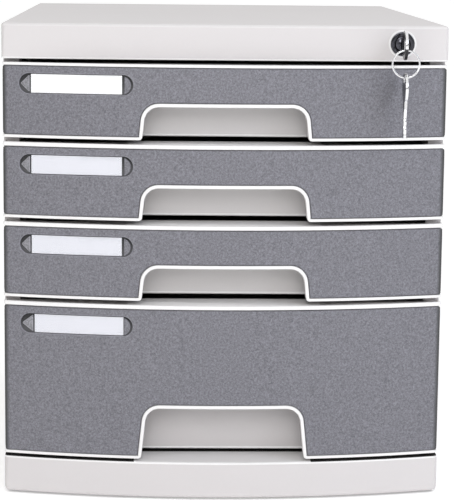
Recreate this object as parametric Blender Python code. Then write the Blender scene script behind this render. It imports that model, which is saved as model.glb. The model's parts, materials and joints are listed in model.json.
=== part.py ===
"""Desktop file drawer: a lockable cabinet with a bowed front, three shallow drawers and one deep one.

Everything is in metres, with +Z up and the front facing -Y. Heights are measured from the surface that
the cabinet stands on, and depths from the plane through the front corners of the drawers.
"""

import math

import bmesh
import bpy
from mathutils import Vector

MM = 0.001

# Overall sizes
CABINET_WIDTH = 305.2 * MM
CABINET_DEPTH = 410.0 * MM
FOOT_STAND = 1.5 * MM
BASE_HEIGHT = 25.5 * MM
BASE_GAP = 2.0 * MM
DEEP_FRONT_HEIGHT = 108.3 * MM
SHALLOW_FRONT_HEIGHT = 52.2 * MM
FRONT_GAP = 3.0 * MM
LID_GAP = 1.4 * MM
LID_HEIGHT = 24.2 * MM

# Clearances
SEAT_GAP = 0.3 * MM
PASS_GAP = 0.4 * MM
SLIDE_GAP = 0.5 * MM
OVERRUN = 5.0 * MM

# Drawer fronts: how far they stand inside the lid's sides, how much they bow, their walls and rims
FRONT_INSET = 0.8 * MM
FRONT_BOW = 20.4 * MM
FRONT_BACK = 10.0 * MM
FRONT_CORNER_RADIUS = 2.0 * MM
FASCIA_WALL = 2.4 * MM
FRAME_WALL = 2.0 * MM
TOP_RIM = 2.9 * MM
BOTTOM_RIM = 2.0 * MM
PANEL_CORNER_RADIUS = 1.2 * MM

# Finger notch in each front: its height above the dark panel's lower edge, its width and its lip
SHALLOW_NOTCH_HEIGHT = 23.0 * MM
DEEP_NOTCH_HEIGHT = 36.3 * MM
NOTCH_HALF_WIDTH = 58.8 * MM
NOTCH_DRAFT = math.radians(6)
NOTCH_RADIUS = 12.5 * MM
NOTCH_FOOT_RADIUS = 2.5 * MM
NOTCH_RIM = 2.4 * MM
LIP_DEPTH = 5.0 * MM

# Stiffening ribs and screw bosses behind the front
RIB_WALL = 1.6 * MM
RIB_SETOUT = 19.2 * MM
RIB_INSET = 29.0 * MM
RIB_ROOT = 1.0 * MM
RIB_SHORTFALL = 2.0 * MM
BOSS_WALL = 2.2 * MM

# Label recess, card and clear window
LABEL_INSET = 12.65 * MM
LABEL_DROP = 12.2 * MM
RECESS_LENGTH = 77.3 * MM
RECESS_HEIGHT = 13.6 * MM
RECESS_DEPTH = 1.4 * MM
CARD_END_GAP = 0.85 * MM
CARD_EDGE_GAP = 0.8 * MM
CARD_THICKNESS = 0.3 * MM
DEEP_CARD_SHIFT = 1.7 * MM
WINDOW_THICKNESS = 0.5 * MM

# Drawer trays
TRAY_REAR_GAP = 1.3 * MM
TRAY_WALL = 2.0 * MM
TRAY_TOP_DROP = 4.4 * MM
TRAY_DRAFT = 1.0 * MM
TRAY_FLOOR_RADIUS = 3.0 * MM
TRAY_BACK_RADIUS = 8.0 * MM
TRAY_FRONT_RADIUS = 1.2 * MM
TRAY_FLANGE = 4.0 * MM
TRAY_FLANGE_WALL = 2.0 * MM
BACK_FLANGE = 2.5 * MM
TRAVEL = 250.0 * MM
STOP_HEIGHT = 1.2 * MM
STOP_LENGTH = 4.0 * MM
STOP_INSET = 10.0 * MM
STOP_CLEARANCE = 0.4 * MM
RUNNER_HEADROOM = 1.8 * MM

# Side panels
PANEL_INSET = 0.8 * MM
PANEL_WALL = 2.4 * MM
STILE_PASS = 1.1 * MM
STILE_WALL = 3.0 * MM
FLANGE_WALL = 3.0 * MM
TOP_FLANGE_DROP = 9.0 * MM
RUNNER_PASS = 0.7 * MM
RUNNER_WALL = 2.0 * MM
RUNNER_SETBACK = 1.4 * MM
GROOVE_DEPTH = 3.1 * MM
GROOVE_RIB = 2.5 * MM
REAR_LIP = 3.6 * MM
REAR_INSET = 0.8 * MM

# Back panel
BACK_WALL = 2.6 * MM
BACK_RIB_SHARE = 1 / 3
BACK_RIB_WALL = 2.0 * MM
BACK_RIB_DEPTH = 5.0 * MM
BACK_RIB_MARGIN = 12.0 * MM

# Lid
LID_BOW = 5.0 * MM
LID_WALL = 2.4 * MM
LID_TOP_WALL = 3.0 * MM
LID_CORNER_RADIUS = 3.0 * MM
LID_EDGE_RADIUS = 1.8 * MM
LID_LOWER_EDGE = 0.5 * MM

# Base
BASE_INSET = 0.2 * MM
BASE_WALL = 2.6 * MM
BASE_CORNER_RADIUS = 4.0 * MM
BASE_TOP_RADIUS = 1.2 * MM
BASE_FOOT_RADIUS = 2.5 * MM
BASE_RIB_WALL = 2.0 * MM
BASE_RIB_WIDTH_SHARE = 0.4
BASE_RIB_DEPTH_SHARES = (0.33, 0.68)

# Feet
FOOT_INSET = 26.0 * MM
FOOT_FRONT_Y = 40.0 * MM
FOOT_BACK_INSET = 40.0 * MM
FOOT_RADIUS = 9.0 * MM
FOOT_EDGE = 0.8 * MM
FOOT_SINK = 1.5 * MM
FOOT_BOSS_WALL = 2.7 * MM

# Screws
SCREW_RADIUS = 1.5 * MM
SCREW_LENGTH = 10.0 * MM
SCREW_HEAD_RADIUS = 2.8 * MM
SCREW_HEAD_HEIGHT = 1.8 * MM
SCREW_EDGE = 0.4 * MM
SCREW_SLOT_WIDTH = 0.8 * MM
SCREW_SLOT_DEPTH = 1.0 * MM
BORE_SPARE = 1.0 * MM
PILLAR_WALL = 1.2 * MM
PILLAR_HEIGHT = 8.0 * MM
CORNER_SCREW_FRONT = 60.0 * MM
CORNER_SCREW_REAR = 56.0 * MM

# Lock
LOCK_INSET = 32.1 * MM
LOCK_HEADROOM = 1.2 * MM
BEZEL_FLANGE = 2.0 * MM
BEZEL_WALL = 1.6 * MM
BEZEL_EDGE = 0.5 * MM
BARREL_WALL = 1.0 * MM
BARREL_SPARE = 6.3 * MM
PLUG_WALL = 1.5 * MM
PLUG_PROUD = 0.3 * MM
PLUG_TAIL = 0.5 * MM
NUT_WALL = 1.5 * MM
NUT_LENGTH = 4.0 * MM
TANG_SIDE = 4.4 * MM
TANG_LENGTH = 1.7 * MM
CAM_WALL = 3.0 * MM
CAM_MARGIN = 0.65 * MM
CRANK_TRAVEL = 8.0 * MM
CRANK_PIN_RADIUS = 1.5 * MM
CRANK_PIN_PROUD = 1.1 * MM
CAM_SCREW_RADIUS = 1.1 * MM
CAM_SCREW_LENGTH = 3.8 * MM
CAM_SCREW_HEAD_RADIUS = 3.2 * MM
CAM_SCREW_HEAD_HEIGHT = 1.1 * MM
CAM_SCREW_BORE_SPARE = 0.5 * MM

# Lock bar and the catches on the trays
BAR_WALL = 2.0 * MM
BAR_PASS = 0.7 * MM
BAR_MARGIN = 1.4 * MM
BAR_CORNER_RADIUS = 2.0 * MM
BAR_TAIL = 12.0 * MM
ARM_WALL = 2.0 * MM
ARM_HALF_HEIGHT = 3.5 * MM
ARM_END = 2.6 * MM
TOOTH_REACH = 3.4 * MM
TOOTH_DEPTH = 3.5 * MM
TOOTH_HEIGHT = 7.0 * MM
TOOTH_RAMP = 1.5 * MM
CATCH_DROP = 0.8 * MM
CATCH_DEPTH = 3.5 * MM
CATCH_SHORTFALL = 0.2 * MM
GUIDE_WALL = 2.0 * MM
GUIDE_RAIL_DEPTH = 3.0 * MM
GUIDE_RAIL_SETBACK = 6.0 * MM
KEEPER_HEIGHT = 14.0 * MM
KEEPER_WALL = 1.4 * MM
KEEPER_LENGTH = 8.0 * MM

# Keys and ring
KEY_THICKNESS = 2.0 * MM
KEY_BLADE_LENGTH = 20.0 * MM
KEY_BLADE_HALF = 3.0 * MM
KEY_TIP_HALF = 1.3 * MM
KEY_TIP_LENGTH = 2.2 * MM
KEY_COLLAR_HALF = 4.4 * MM
KEY_COLLAR_LENGTH = 4.0 * MM
KEY_COLLAR_GAP = 0.4 * MM
KEY_BOW_RADIUS = 10.0 * MM
KEY_EYE_LENGTH = 8.4 * MM
KEY_EYE_WIDTH = 4.6 * MM
KEY_EYE_MARGIN = 2.15 * MM
KEY_BIT_DEPTH_SHARES = (0.30, 0.12, 0.34, 0.20, 0.38, 0.16)
KEY_BIT_FLAT_SHARE = 0.45
RING_RADIUS = 9.1 * MM
RING_WIRE_RADIUS = 0.65 * MM

# A rounded end keeps a sliver of flat, so that its two arcs don't share a point.
ROUND_SHARE = 0.999

# Facets
BOW_STEPS = 16
LABEL_STEPS = 5
ARC_STEPS = 3
EDGE_STEPS = 2
ROUND_STEPS = 20
SCREW_STEPS = 8
RING_STEPS = 28
WIRE_STEPS = 6

def bow_at(x, half_width, bow):
    """Depth of a bowed front at x: zero at its corners and most forward in the middle."""
    return -bow * (1 - (x / half_width) ** 2)


# Radii round the screws and the feet
BORE_RADIUS = SCREW_RADIUS + SEAT_GAP
PILLAR_RADIUS = BORE_RADIUS + PILLAR_WALL
BOSS_RADIUS = BORE_RADIUS + BOSS_WALL
BORE_DEPTH = SCREW_LENGTH + BORE_SPARE
FOOT_BOSS_RADIUS = FOOT_RADIUS + SEAT_GAP + FOOT_BOSS_WALL

# The lock's cross-section, from the key's blade outwards
KEYWAY_WIDTH = KEY_THICKNESS + 2 * SEAT_GAP
KEYWAY_HEIGHT = 2 * (KEY_BLADE_HALF + PASS_GAP)
PLUG_RADIUS = KEYWAY_HEIGHT / 2 + PLUG_WALL
BARREL_RADIUS = PLUG_RADIUS + SEAT_GAP + BARREL_WALL
BEZEL_RADIUS = BARREL_RADIUS + BEZEL_FLANGE
NUT_ACROSS_FLATS = 2 * (BARREL_RADIUS + SEAT_GAP + NUT_WALL)
CRANK_RADIUS = CRANK_TRAVEL / (2 * math.sin(math.pi / 4))
CAM_RADIUS = CRANK_RADIUS + CRANK_PIN_RADIUS + CAM_MARGIN
CAM_SINK_RADIUS = CAM_SCREW_HEAD_RADIUS + PASS_GAP
CRANK_PIN_LENGTH = SLIDE_GAP + ARM_WALL + CRANK_PIN_PROUD
CATCH_HEIGHT = CRANK_TRAVEL

# Heights, worked out from the bottom up
BASE_TOP = FOOT_STAND + BASE_HEIGHT
FRONT_HEIGHTS = (SHALLOW_FRONT_HEIGHT, SHALLOW_FRONT_HEIGHT, SHALLOW_FRONT_HEIGHT, DEEP_FRONT_HEIGHT)
LID_BOTTOM = BASE_TOP + BASE_GAP + sum(FRONT_HEIGHTS) + FRONT_GAP * (len(FRONT_HEIGHTS) - 1) + LID_GAP
LID_TOP = LID_BOTTOM + LID_HEIGHT
LID_CEILING = LID_TOP - LID_TOP_WALL
LOCK_Z = LID_CEILING - LOCK_HEADROOM - max(NUT_ACROSS_FLATS / 2, CAM_RADIUS)
PANEL_BOTTOM = BASE_TOP + SEAT_GAP
PANEL_TOP = LID_CEILING - SEAT_GAP
PANEL_STEP = LID_BOTTOM - SEAT_GAP

# Places across the front, from each side inwards
HALF_WIDTH = CABINET_WIDTH / 2
FRONT_HALF_WIDTH = HALF_WIDTH - FRONT_INSET
FOOT_X = HALF_WIDTH - FOOT_INSET
LOCK_X = HALF_WIDTH - LOCK_INSET
LABEL_X = LABEL_INSET + RECESS_LENGTH / 2 - HALF_WIDTH
CARD_LENGTH = RECESS_LENGTH - RECESS_HEIGHT - 2 * CARD_END_GAP
CARD_HEIGHT = RECESS_HEIGHT - 2 * CARD_EDGE_GAP
RIB_PLACES = (NOTCH_HALF_WIDTH + RIB_SETOUT, HALF_WIDTH - RIB_INSET)
FRONT_SCREW_X = sum(RIB_PLACES) / 2

# The walls, the lock bar and the tray, from each side inwards
PANEL_OUTSIDE = HALF_WIDTH - PANEL_INSET
PANEL_INSIDE = PANEL_OUTSIDE - PANEL_WALL
TONGUE_OUTSIDE = HALF_WIDTH - LID_WALL - SEAT_GAP
TONGUE_INSIDE = TONGUE_OUTSIDE - PANEL_WALL
PANEL_SPINE = (PANEL_INSIDE + TONGUE_OUTSIDE) / 2
CORNER_SCREW_X = TONGUE_INSIDE - SLIDE_GAP - PILLAR_RADIUS
BACK_HALF_WIDTH = PANEL_INSIDE - SEAT_GAP - PANEL_WALL
GROOVE_REACH = BACK_HALF_WIDTH - GROOVE_DEPTH
BAR_OUTSIDE = TONGUE_INSIDE - BAR_PASS
BAR_INSIDE = BAR_OUTSIDE - BAR_WALL
FLANGE_EDGE = BAR_INSIDE - BAR_PASS
TRAY_HALF_WIDTH = FLANGE_EDGE - TRAY_FLANGE
STILE_REACH = TRAY_HALF_WIDTH + STILE_PASS
RUNNER_REACH = TRAY_HALF_WIDTH + RUNNER_PASS

# Depths of the lock, from the lid's face to the arm behind its crank
KEY_LENGTH = KEY_BLADE_LENGTH + KEY_COLLAR_LENGTH + 2 * KEY_BOW_RADIUS
KEY_EYE_S = KEY_LENGTH - KEY_EYE_MARGIN - KEY_EYE_WIDTH / 2
BEZEL_BACK = bow_at(LOCK_X - BEZEL_RADIUS, HALF_WIDTH, LID_BOW) - SEAT_GAP
BEZEL_FRONT = BEZEL_BACK - BEZEL_WALL
PLUG_FRONT = BEZEL_FRONT - PLUG_PROUD
KEY_COLLAR_Y = PLUG_FRONT - KEY_COLLAR_GAP
KEY_TIP_Y = KEY_COLLAR_Y + KEY_BLADE_LENGTH
BARREL_BACK = KEY_TIP_Y + BARREL_SPARE
PLUG_BACK = BARREL_BACK + PLUG_TAIL
CAM_FRONT = PLUG_BACK + SEAT_GAP
CAM_BACK = CAM_FRONT + CAM_WALL
ARM_FRONT = CAM_BACK + SLIDE_GAP
ARM_BACK = ARM_FRONT + ARM_WALL

# Depths of the trays' front, the lock bar and the runners
TRAY_FRONT = FRONT_BACK + SEAT_GAP
STILE_FRONT = FRONT_BACK + SEAT_GAP
STILE_BACK = STILE_FRONT + STILE_WALL
BAR_FRONT = STILE_BACK + PASS_GAP
BAR_BACK = ARM_BACK + BAR_MARGIN
CATCH_FRONT = BAR_FRONT + TOOTH_DEPTH + BAR_PASS
RUNNER_START = BAR_BACK + PASS_GAP + GUIDE_WALL + RUNNER_SETBACK

# Depths at the rear, from the lid's skirt forwards
REAR_EDGE = CABINET_DEPTH - REAR_INSET
PANEL_REAR = CABINET_DEPTH - LID_WALL - SEAT_GAP
GROOVE_BACK = PANEL_REAR - REAR_LIP
BACK_PANEL_BACK = GROOVE_BACK - SEAT_GAP
BACK_PANEL_FRONT = BACK_PANEL_BACK - BACK_WALL
GROOVE_FRONT = BACK_PANEL_FRONT - SEAT_GAP
RUNNER_END = GROOVE_FRONT - GROOVE_RIB / 2
TRAY_BACK = BACK_PANEL_FRONT - BACK_RIB_DEPTH - TRAY_REAR_GAP - BACK_FLANGE
STOP_Y = TRAY_BACK - STOP_INSET
CORNER_SCREW_Y = (CORNER_SCREW_FRONT, CABINET_DEPTH - CORNER_SCREW_REAR)

# The key ring hangs in the lock key's eye, and the spare key on the ring.
RING_Y = KEY_TIP_Y - KEY_EYE_S
RING_Z = LOCK_Z - KEY_EYE_LENGTH / 2 + SEAT_GAP + RING_WIRE_RADIUS - RING_RADIUS
HANG_S = KEY_LENGTH - KEY_EYE_MARGIN - SEAT_GAP - RING_WIRE_RADIUS

# The bounding box is centred on the origin, and the hanging key is what reaches furthest forward.
KEY_REACH = KEY_BOW_RADIUS - RING_Y
FRONT_Y = (KEY_REACH - CABINET_DEPTH) / 2

AXES = {"X": (1, 2, 0), "Y": (0, 2, 1), "Z": (0, 1, 2)}


def clear_scene():
    for item in list(bpy.data.objects):
        bpy.data.objects.remove(item, do_unlink=True)


def make_material(name, colour, roughness, metallic=0.0, alpha=1.0):
    material = bpy.data.materials.new(name)
    material.use_nodes = True
    shader = material.node_tree.nodes["Principled BSDF"]
    shader.inputs["Base Color"].default_value = (*colour, 1.0)
    shader.inputs["Roughness"].default_value = roughness
    shader.inputs["Metallic"].default_value = metallic
    shader.inputs["Alpha"].default_value = alpha
    return material


def make_object(name, mesh):
    item = bpy.data.objects.new(name, mesh)
    bpy.context.scene.collection.objects.link(item)
    return item


def finish_mesh(name, bm):
    """Turn the faces outwards and store the mesh as a new object."""
    bmesh.ops.recalc_face_normals(bm, faces=bm.faces)
    mesh = bpy.data.meshes.new(name)
    bm.to_mesh(mesh)
    bm.free()
    return make_object(name, mesh)


def loft(name, rings):
    """Skin a stack of rings of equal length, and close its first and last ring."""
    bm = bmesh.new()
    loops = [[bm.verts.new(point) for point in ring] for ring in rings]
    for lower, upper in zip(loops, loops[1:]):
        for i in range(len(lower)):
            j = (i + 1) % len(lower)
            bm.faces.new((lower[i], lower[j], upper[j], upper[i]))
    bm.faces.new(loops[0])
    bm.faces.new(loops[-1])
    return finish_mesh(name, bm)


def prism(name, outline, axis, low, high):
    """Extrude a flat outline along X, Y or Z between two places."""
    first, second, along = AXES[axis]
    rings = []
    for place in (low, high):
        ring = []
        for u, v in outline:
            point = [0.0, 0.0, 0.0]
            point[first], point[second], point[along] = u, v, place
            ring.append(point)
        rings.append(ring)
    return loft(name, rings)


def box(name, low, high):
    outline = ((low[0], low[1]), (high[0], low[1]), (high[0], high[1]), (low[0], high[1]))
    return prism(name, outline, "Z", low[2], high[2])


def turned(name, profile, steps, centre=(0.0, 0.0)):
    """Turn a closed profile of (radius, depth) about an axis along Y through centre."""
    bm = bmesh.new()
    columns = []
    for radius, depth in profile:
        column = []
        for step in range(steps if radius else 1):
            angle = math.tau * step / steps
            x = centre[0] + radius * math.sin(angle)
            z = centre[1] + radius * math.cos(angle)
            column.append(bm.verts.new((x, depth, z)))
        columns.append(column)
    for one, two in zip(columns, columns[1:] + columns[:1]):
        if len(one) == 1 and len(two) == 1:
            continue
        for i in range(steps):
            j = (i + 1) % steps
            corners = (one[i % len(one)], one[j % len(one)], two[j % len(two)], two[i % len(two)])
            bm.faces.new(tuple(dict.fromkeys(corners)))
    return finish_mesh(name, bm)


def circle(u, v, radius, steps=ROUND_STEPS):
    places = [math.tau * step / steps for step in range(steps)]
    return [(u + radius * math.cos(angle), v + radius * math.sin(angle)) for angle in places]


def rounded(corners, steps=ARC_STEPS):
    """Outline through corners of (u, v, radius), with an arc of that radius at each."""
    points = []
    for i, (u, v, radius) in enumerate(corners):
        corner = Vector((u, v))
        if not radius:
            points.append(corner)
            continue
        before = (Vector(corners[i - 1][:2]) - corner).normalized()
        after = (Vector(corners[(i + 1) % len(corners)][:2]) - corner).normalized()
        half = before.angle(after) / 2
        start = corner + before * radius / math.tan(half)
        end = corner + after * radius / math.tan(half)
        centre = corner + (before + after).normalized() * radius / math.sin(half)
        sweep = (start - centre).angle_signed(end - centre)
        for step in range(steps + 1):
            turn = -sweep * step / steps
            offset = start - centre
            x = offset.x * math.cos(turn) - offset.y * math.sin(turn)
            y = offset.x * math.sin(turn) + offset.y * math.cos(turn)
            points.append(centre + Vector((x, y)))
    return [tuple(point) for point in points]


def combine(body, tool, operation):
    """Apply one exact boolean to the body and delete the tool."""
    modifier = body.modifiers.new("join", "BOOLEAN")
    modifier.operation = operation
    modifier.solver = "EXACT"
    modifier.object = tool
    graph = bpy.context.evaluated_depsgraph_get()
    result = bpy.data.meshes.new_from_object(body.evaluated_get(graph))
    body.modifiers.remove(modifier)
    body.data = result
    bpy.data.objects.remove(tool, do_unlink=True)
    return body


def cut(body, tool):
    return combine(body, tool, "DIFFERENCE")


def unite(body, tool):
    return combine(body, tool, "UNION")


def common(body, tool):
    return combine(body, tool, "INTERSECT")


def place(item, material, parent, smooth_angle=None):
    """Give a finished piece its material, its parent and its shading."""
    if not item.data.materials:
        item.data.materials.append(material)
        if smooth_angle:
            item.data.shade_smooth()
            item.data.set_sharp_from_angle(angle=smooth_angle)
    item.parent = parent
    return item


def make_empty(name, location, parent=None):
    empty = bpy.data.objects.new(name, None)
    empty.location = location
    empty.parent = parent
    bpy.context.scene.collection.objects.link(empty)
    return empty


def bowed_outline(half_width, bow, back, inset, corner_radius, back_radius):
    """Plan view of a bowed front: a curved front edge, straight sides and a straight back at depth back.

    The inset moves the front back and the sides in, and leaves the back edge where it is.
    """
    side = half_width - inset
    corners = [(side, back, back_radius), (-side, back, back_radius)]
    for step in range(BOW_STEPS + 1):
        x = -side + 2 * side * step / BOW_STEPS
        at_corner = step in (0, BOW_STEPS)
        corners.append((x, bow_at(x, half_width, bow) + inset, corner_radius if at_corner else 0))
    return rounded(corners)


def front_region(inset, back):
    radius = max(FRONT_CORNER_RADIUS - inset, SEAT_GAP)
    return bowed_outline(FRONT_HALF_WIDTH, FRONT_BOW, back, inset, radius, SEAT_GAP)


def bowed_strip(low_x, high_x, front, back, steps):
    """Plan view of a thin strip that follows the drawers' bow between two setbacks."""
    places = [low_x + (high_x - low_x) * step / steps for step in range(steps + 1)]
    near = [(x, bow_at(x, FRONT_HALF_WIDTH, FRONT_BOW) + front) for x in places]
    far = [(x, bow_at(x, FRONT_HALF_WIDTH, FRONT_BOW) + back) for x in reversed(places)]
    return near + far


def notch_outline(height, inset, foot_radius=0):
    """Front view of the finger notch, open at the bottom, inset from the dark panel's edge.

    A foot radius rounds the two corners where the notch opens through the front's lower edge.
    """
    def half_at(z):
        return NOTCH_HALF_WIDTH - inset - (z - BOTTOM_RIM) * math.tan(NOTCH_DRAFT)

    top = BOTTOM_RIM + height - inset
    if foot_radius:
        foot = -SEAT_GAP
        mouth = half_at(foot) + foot_radius
        corners = [(mouth, -OVERRUN, 0), (mouth, foot, 0), (half_at(foot), foot, foot_radius)]
    else:
        corners = [(half_at(-OVERRUN), -OVERRUN, 0)]
    corners.append((half_at(top), top, NOTCH_RADIUS - inset))
    return rounded(corners + [(-x, z, radius) for x, z, radius in reversed(corners)])


def make_fascia(name, height, notch_height):
    """Dark front plate: bowed, wrapped round the ends, notched and recessed for its label."""
    low = BOTTOM_RIM + SEAT_GAP
    high = height - TOP_RIM - SEAT_GAP
    fascia = prism(name, front_region(0, FRONT_BACK - SEAT_GAP), "Z", low, high)
    face = rounded([(x, z, PANEL_CORNER_RADIUS) for x, z in (
        (-FRONT_HALF_WIDTH, low),
        (FRONT_HALF_WIDTH, low),
        (FRONT_HALF_WIDTH, high),
        (-FRONT_HALF_WIDTH, high),
    )])
    common(fascia, prism("face", face, "Y", -FRONT_BOW - OVERRUN, FRONT_BACK + OVERRUN))
    inside = front_region(FASCIA_WALL, FRONT_BACK + OVERRUN)
    cut(fascia, prism("inside", inside, "Z", low - OVERRUN, high + OVERRUN))
    notch = notch_outline(notch_height, -SEAT_GAP)
    cut(fascia, prism("notch", notch, "Y", -FRONT_BOW - OVERRUN, FRONT_BACK))
    cut(fascia, make_recess(high + SEAT_GAP - LABEL_DROP))
    return fascia


def make_recess(centre_z):
    """Solid of the label recess: a stadium in front view, its floor following the bow."""
    half = RECESS_LENGTH / 2
    reach = half + OVERRUN
    strip = bowed_strip(LABEL_X - reach, LABEL_X + reach, -OVERRUN, RECESS_DEPTH, BOW_STEPS)
    recess = prism("recess", strip, "Z", centre_z - reach, centre_z + reach)
    radius = RECESS_HEIGHT / 2
    stadium = rounded([(LABEL_X + u, centre_z + v, radius * ROUND_SHARE) for u, v in (
        (-half, -radius),
        (half, -radius),
        (half, radius),
        (-half, radius),
    )], 2 * ARC_STEPS)
    return common(recess, prism("stadium", stadium, "Y", -FRONT_BOW - 2 * OVERRUN, FRONT_BACK))


def make_label_strip(name, front, back, shift=0):
    """Rectangular strip in the recess, between two setbacks from the bowed face."""
    low = LABEL_X + shift - CARD_LENGTH / 2
    strip = bowed_strip(low, low + CARD_LENGTH, front, back, LABEL_STEPS)
    return prism(name, strip, "Z", -CARD_HEIGHT / 2, CARD_HEIGHT / 2)


def make_front_frame(name, height, notch_height):
    """Light front moulding: rims round the fascia, a notch with a lip, ribs and screw bosses behind."""
    frame = prism(name, front_region(0, FRONT_BACK), "Z", 0, height)
    depth_low = -FRONT_BOW - OVERRUN
    depth_high = FRONT_BACK + OVERRUN
    rim = notch_outline(notch_height, 0)

    # The step that the fascia lies in, kept clear of the notch's rim
    pocket = box("pocket", (-CABINET_WIDTH, depth_low, BOTTOM_RIM),
                 (CABINET_WIDTH, depth_high, height - TOP_RIM))
    backing = front_region(FASCIA_WALL + SEAT_GAP, depth_high + OVERRUN)
    cut(pocket, prism("backing", backing, "Z", 0, height))
    cut(pocket, prism("rim", rim, "Y", depth_low - OVERRUN, depth_high + OVERRUN))
    cut(frame, pocket)

    # The hollow behind the front wall, also kept clear of the notch's rim
    shell = FASCIA_WALL + SEAT_GAP + FRAME_WALL
    hollow = prism("hollow", front_region(shell, depth_high), "Z", BOTTOM_RIM, height - TOP_RIM)
    cut(hollow, prism("rim", rim, "Y", depth_low - OVERRUN, depth_high + OVERRUN))
    cut(frame, hollow)

    # The notch itself, and the room for fingers behind its lip
    opening = notch_outline(notch_height, NOTCH_RIM, NOTCH_FOOT_RADIUS)
    cut(frame, prism("opening", opening, "Y", depth_low, depth_high))
    room = prism("room", front_region(shell + LIP_DEPTH, depth_high), "Z", -OVERRUN, height - TOP_RIM)
    common(room, prism("wide", notch_outline(notch_height, -SEAT_GAP), "Y", depth_low, depth_high))
    cut(frame, room)

    for side in (-1, 1):
        for x in RIB_PLACES:
            near = bow_at(x, FRONT_HALF_WIDTH, FRONT_BOW) + shell - RIB_ROOT
            low = (side * x - RIB_WALL / 2, near, BOTTOM_RIM - RIB_ROOT)
            high = (side * x + RIB_WALL / 2, FRONT_BACK - RIB_SHORTFALL, height - TOP_RIM + RIB_ROOT)
            unite(frame, box("rib", low, high))
        x = side * FRONT_SCREW_X
        near = bow_at(x, FRONT_HALF_WIDTH, FRONT_BOW) + shell - RIB_ROOT
        boss = circle(x, height / 2, BOSS_RADIUS, SCREW_STEPS)
        unite(frame, prism("boss", boss, "Y", near, FRONT_BACK))
        bore = circle(x, height / 2, BORE_RADIUS, SCREW_STEPS)
        cut(frame, prism("bore", bore, "Y", FRONT_BACK - BORE_DEPTH, depth_high))
    return frame


def tray_ring(half_width, front, back, front_radius, back_radius, z):
    outline = rounded((
        (half_width, back, back_radius),
        (-half_width, back, back_radius),
        (-half_width, front, front_radius),
        (half_width, front, front_radius),
    ))
    return [(x, y, z) for x, y in outline]


def fillet_steps(radius):
    """Inset and height of a rounded edge, from its flat end to its upright end."""
    angles = [math.pi / 2 * step / EDGE_STEPS for step in range(EDGE_STEPS + 1)]
    return [(radius * (1 - math.sin(angle)), radius * (1 - math.cos(angle))) for angle in angles]


def make_tray(name, height):
    """Drawer box: drafted walls, a filleted floor, runner flanges, a catch for the lock bar and stops."""
    bottom = SEAT_GAP
    top = height - TRAY_TOP_DROP
    span = top - bottom
    rings = []
    for inset, rise in fillet_steps(TRAY_FLOOR_RADIUS):
        lean = TRAY_DRAFT * (1 - rise / span)
        rings.append(tray_ring(
            TRAY_HALF_WIDTH - lean - inset, TRAY_FRONT, TRAY_BACK - lean - inset,
            TRAY_FRONT_RADIUS, TRAY_BACK_RADIUS, bottom + rise))
    rings.append(tray_ring(
        TRAY_HALF_WIDTH, TRAY_FRONT, TRAY_BACK, TRAY_FRONT_RADIUS, TRAY_BACK_RADIUS, top))
    inner_radius = TRAY_BACK_RADIUS - TRAY_WALL
    rings.append(tray_ring(
        TRAY_HALF_WIDTH - TRAY_WALL, TRAY_FRONT + TRAY_WALL, TRAY_BACK - TRAY_WALL,
        TRAY_FRONT_RADIUS, inner_radius, top))
    for inset, rise in reversed(fillet_steps(TRAY_FLOOR_RADIUS)):
        lean = TRAY_DRAFT * (1 - rise / span)
        rings.append(tray_ring(
            TRAY_HALF_WIDTH - TRAY_WALL - lean - inset, TRAY_FRONT + TRAY_WALL + inset,
            TRAY_BACK - TRAY_WALL - lean - inset, TRAY_FRONT_RADIUS, inner_radius,
            bottom + TRAY_WALL + rise))
    tray = loft(name, rings)

    # The flange that hangs the tray on its runners, left open over the tray's inside
    flange_low = top - TRAY_FLANGE_WALL
    edge = tray_ring(FLANGE_EDGE, TRAY_FRONT, TRAY_BACK + BACK_FLANGE, TRAY_FRONT_RADIUS,
                     TRAY_BACK_RADIUS, 0)
    flange = prism("flange", [point[:2] for point in edge], "Z", flange_low, top)
    middle = TRAY_WALL / 2
    mouth = tray_ring(TRAY_HALF_WIDTH - middle, TRAY_FRONT + middle, TRAY_BACK - middle,
                      TRAY_FRONT_RADIUS, TRAY_BACK_RADIUS - middle, 0)
    cut(flange, prism("mouth", [point[:2] for point in mouth], "Z", flange_low - OVERRUN, top + OVERRUN))
    unite(tray, flange)

    # The catch on the right, which the lock bar's tooth stops, and a stop at the back of each flange
    inner = TRAY_HALF_WIDTH - middle
    low = (inner, CATCH_FRONT, flange_low - CATCH_HEIGHT)
    high = (FLANGE_EDGE - CATCH_SHORTFALL, CATCH_FRONT + CATCH_DEPTH, top - TRAY_FLANGE_WALL / 2)
    unite(tray, box("catch", low, high))
    for side in (-1, 1):
        ends = sorted((side * (TRAY_HALF_WIDTH + CATCH_SHORTFALL), side * (FLANGE_EDGE - CATCH_SHORTFALL)))
        low = (ends[0], STOP_Y - STOP_LENGTH, top - TRAY_FLANGE_WALL / 2)
        high = (ends[1], STOP_Y, top + STOP_HEIGHT)
        unite(tray, box("stop", low, high))
        hole = circle(side * FRONT_SCREW_X, height / 2, BORE_RADIUS, SCREW_STEPS)
        cut(tray, prism("hole", hole, "Y", TRAY_FRONT - OVERRUN, TRAY_FRONT + TRAY_WALL + OVERRUN))
    return tray


def make_screw_mesh(name, radius, length, head_radius, head_height, slot_width, slot_depth):
    """Slotted screw along Y: its head starts at zero and its point is at minus its length."""
    profile = (
        (0, -length),
        (radius, -length),
        (radius, 0),
        (head_radius, 0),
        (head_radius, head_height / 2),
        (head_radius - SCREW_EDGE, head_height),
        (0, head_height),
    )
    screw = turned(name, profile, SCREW_STEPS)
    low = (-head_radius - OVERRUN, head_height - slot_depth, -slot_width / 2)
    high = (head_radius + OVERRUN, head_height + OVERRUN, slot_width / 2)
    cut(screw, box("slot", low, high))
    mesh = screw.data
    bpy.data.objects.remove(screw, do_unlink=True)
    return mesh


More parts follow.
